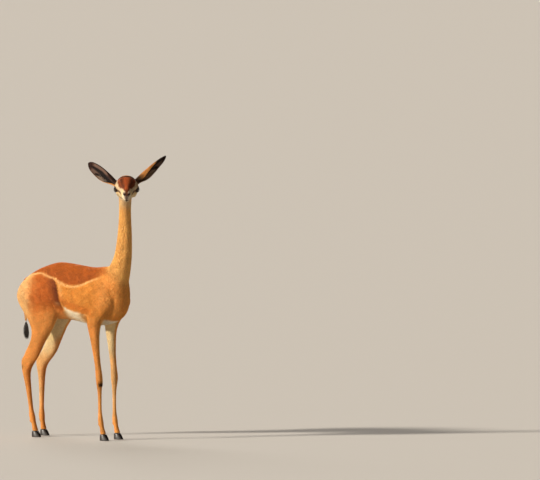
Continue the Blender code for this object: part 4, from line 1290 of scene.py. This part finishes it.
# The hair in the ears. Long pale hairs lie over the inside of each cup. They are single strands,
# rooted in the skin near the cup's lower rim and pointing along the ear.
EAR_HAIRS = 120
EAR_HAIR_LENGTHS, EAR_HAIR_WIDTH, EAR_HAIR_THICKNESS = (0.011, 0.019), 0.00045, 0.00025
pale_hair = loose_hair("pale_hair", (0.20, 0.14, 0.10), (0.42, 0.33, 0.25))
for name in SIDES:
    along, across, point, opening, sideways, root = ear_share(roots, name)
    low = across if sideways[2] < 0 else -across
    on_axis = root + np.outer(along * EAR_LENGTH, point)
    inner = ((on_axis + opening * 0.012 - roots) * root_facing).sum(1)
    near = np.linalg.norm(roots - on_axis, axis=1) < 0.05
    fit = near & (root_shares[:, KINDS.index("ear")] > 0.6) & (inner > 0.002)
    fit &= (along > 0.03) & (along < 0.52) & (low > 0.015) & (low < 0.026)
    chosen = chance.choice(np.flatnonzero(fit), EAR_HAIRS, replace=False)
    rows = []
    for at in chosen:
        face = Vector(root_facing[at])
        aside = Vector(sideways) * chance.uniform(-0.25, 0.25)
        way = (Vector(point) + face * 0.22 + aside).normalized()
        long = chance.uniform(*EAR_HAIR_LENGTHS)
        row = Vector(roots[at]), way, face, face * -0.14, long, EAR_HAIR_WIDTH, EAR_HAIR_THICKNESS
        rows.append(row)
    hairs = locks_piece(f"ear_hair_{name}", rows, pale_hair)

# The studio. A wide pale floor lies under a sky that is as bright as the floor at its foot and
# dimmer above. A soft lamp stands to the picture's left and above, a weak one behind the animal.
FLOOR_REACH = 900
FLOOR_PALE = (0.56, 0.53, 0.49, 1)
SKY_FOOT, SKY_HIGH = (0.48, 0.45, 0.41, 1), (0.135, 0.115, 0.10, 1)
floor_mesh = bpy.data.meshes.new("floor")
ends = ((-1, -1), (1, -1), (1, 1), (-1, 1))
floor_corners = [(x * FLOOR_REACH, y * FLOOR_REACH, 0) for x, y in ends]
floor_mesh.from_pydata(floor_corners, [], [(0, 1, 2, 3)])
floor = add_piece("floor", floor_mesh)
pale, nodes, links, shader = node_tree("floor")
shader.inputs["Base Color"].default_value = FLOOR_PALE
shader.inputs["Roughness"].default_value = 0.9
floor_mesh.materials.append(pale)
sky = bpy.data.worlds.new("sky")
bpy.context.scene.world = sky
sky.use_nodes = True
nodes, links = sky.node_tree.nodes, sky.node_tree.links
spot = nodes.new("ShaderNodeTexCoord")
parted = nodes.new("ShaderNodeSeparateXYZ")
ramp = nodes.new("ShaderNodeValToRGB")
ramp.color_ramp.elements[0].position = 0.02
ramp.color_ramp.elements[0].color = SKY_FOOT
ramp.color_ramp.elements[1].position = 0.20
ramp.color_ramp.elements[1].color = SKY_HIGH
links.new(spot.outputs["Generated"], parted.inputs["Vector"])
links.new(parted.outputs["Z"], ramp.inputs["Fac"])
links.new(ramp.outputs["Color"], nodes["Background"].inputs["Color"])
bpy.context.scene.view_settings.view_transform = "Standard"


def sun(name, way, strength, spread, colour):
    light = bpy.data.lights.new(name, "SUN")
    light.energy = strength
    light.angle = radians(spread)
    light.color = colour
    made = bpy.data.objects.new(name, light)
    made.matrix_world = way.to_track_quat("Z", "Y").to_matrix().to_4x4()
    bpy.context.scene.collection.objects.link(made)


from_left = -picture_right * 0.90 + towards_camera * 0.40 + picture_up * 0.40
from_behind = -towards_camera * 0.85 - picture_right * 0.25 + picture_up * 0.45
sun("key", from_left, strength=5.0, spread=6, colour=(1.0, 0.93, 0.82))
sun("behind", from_behind, strength=1.5, spread=30, colour=(1.0, 0.96, 0.90))
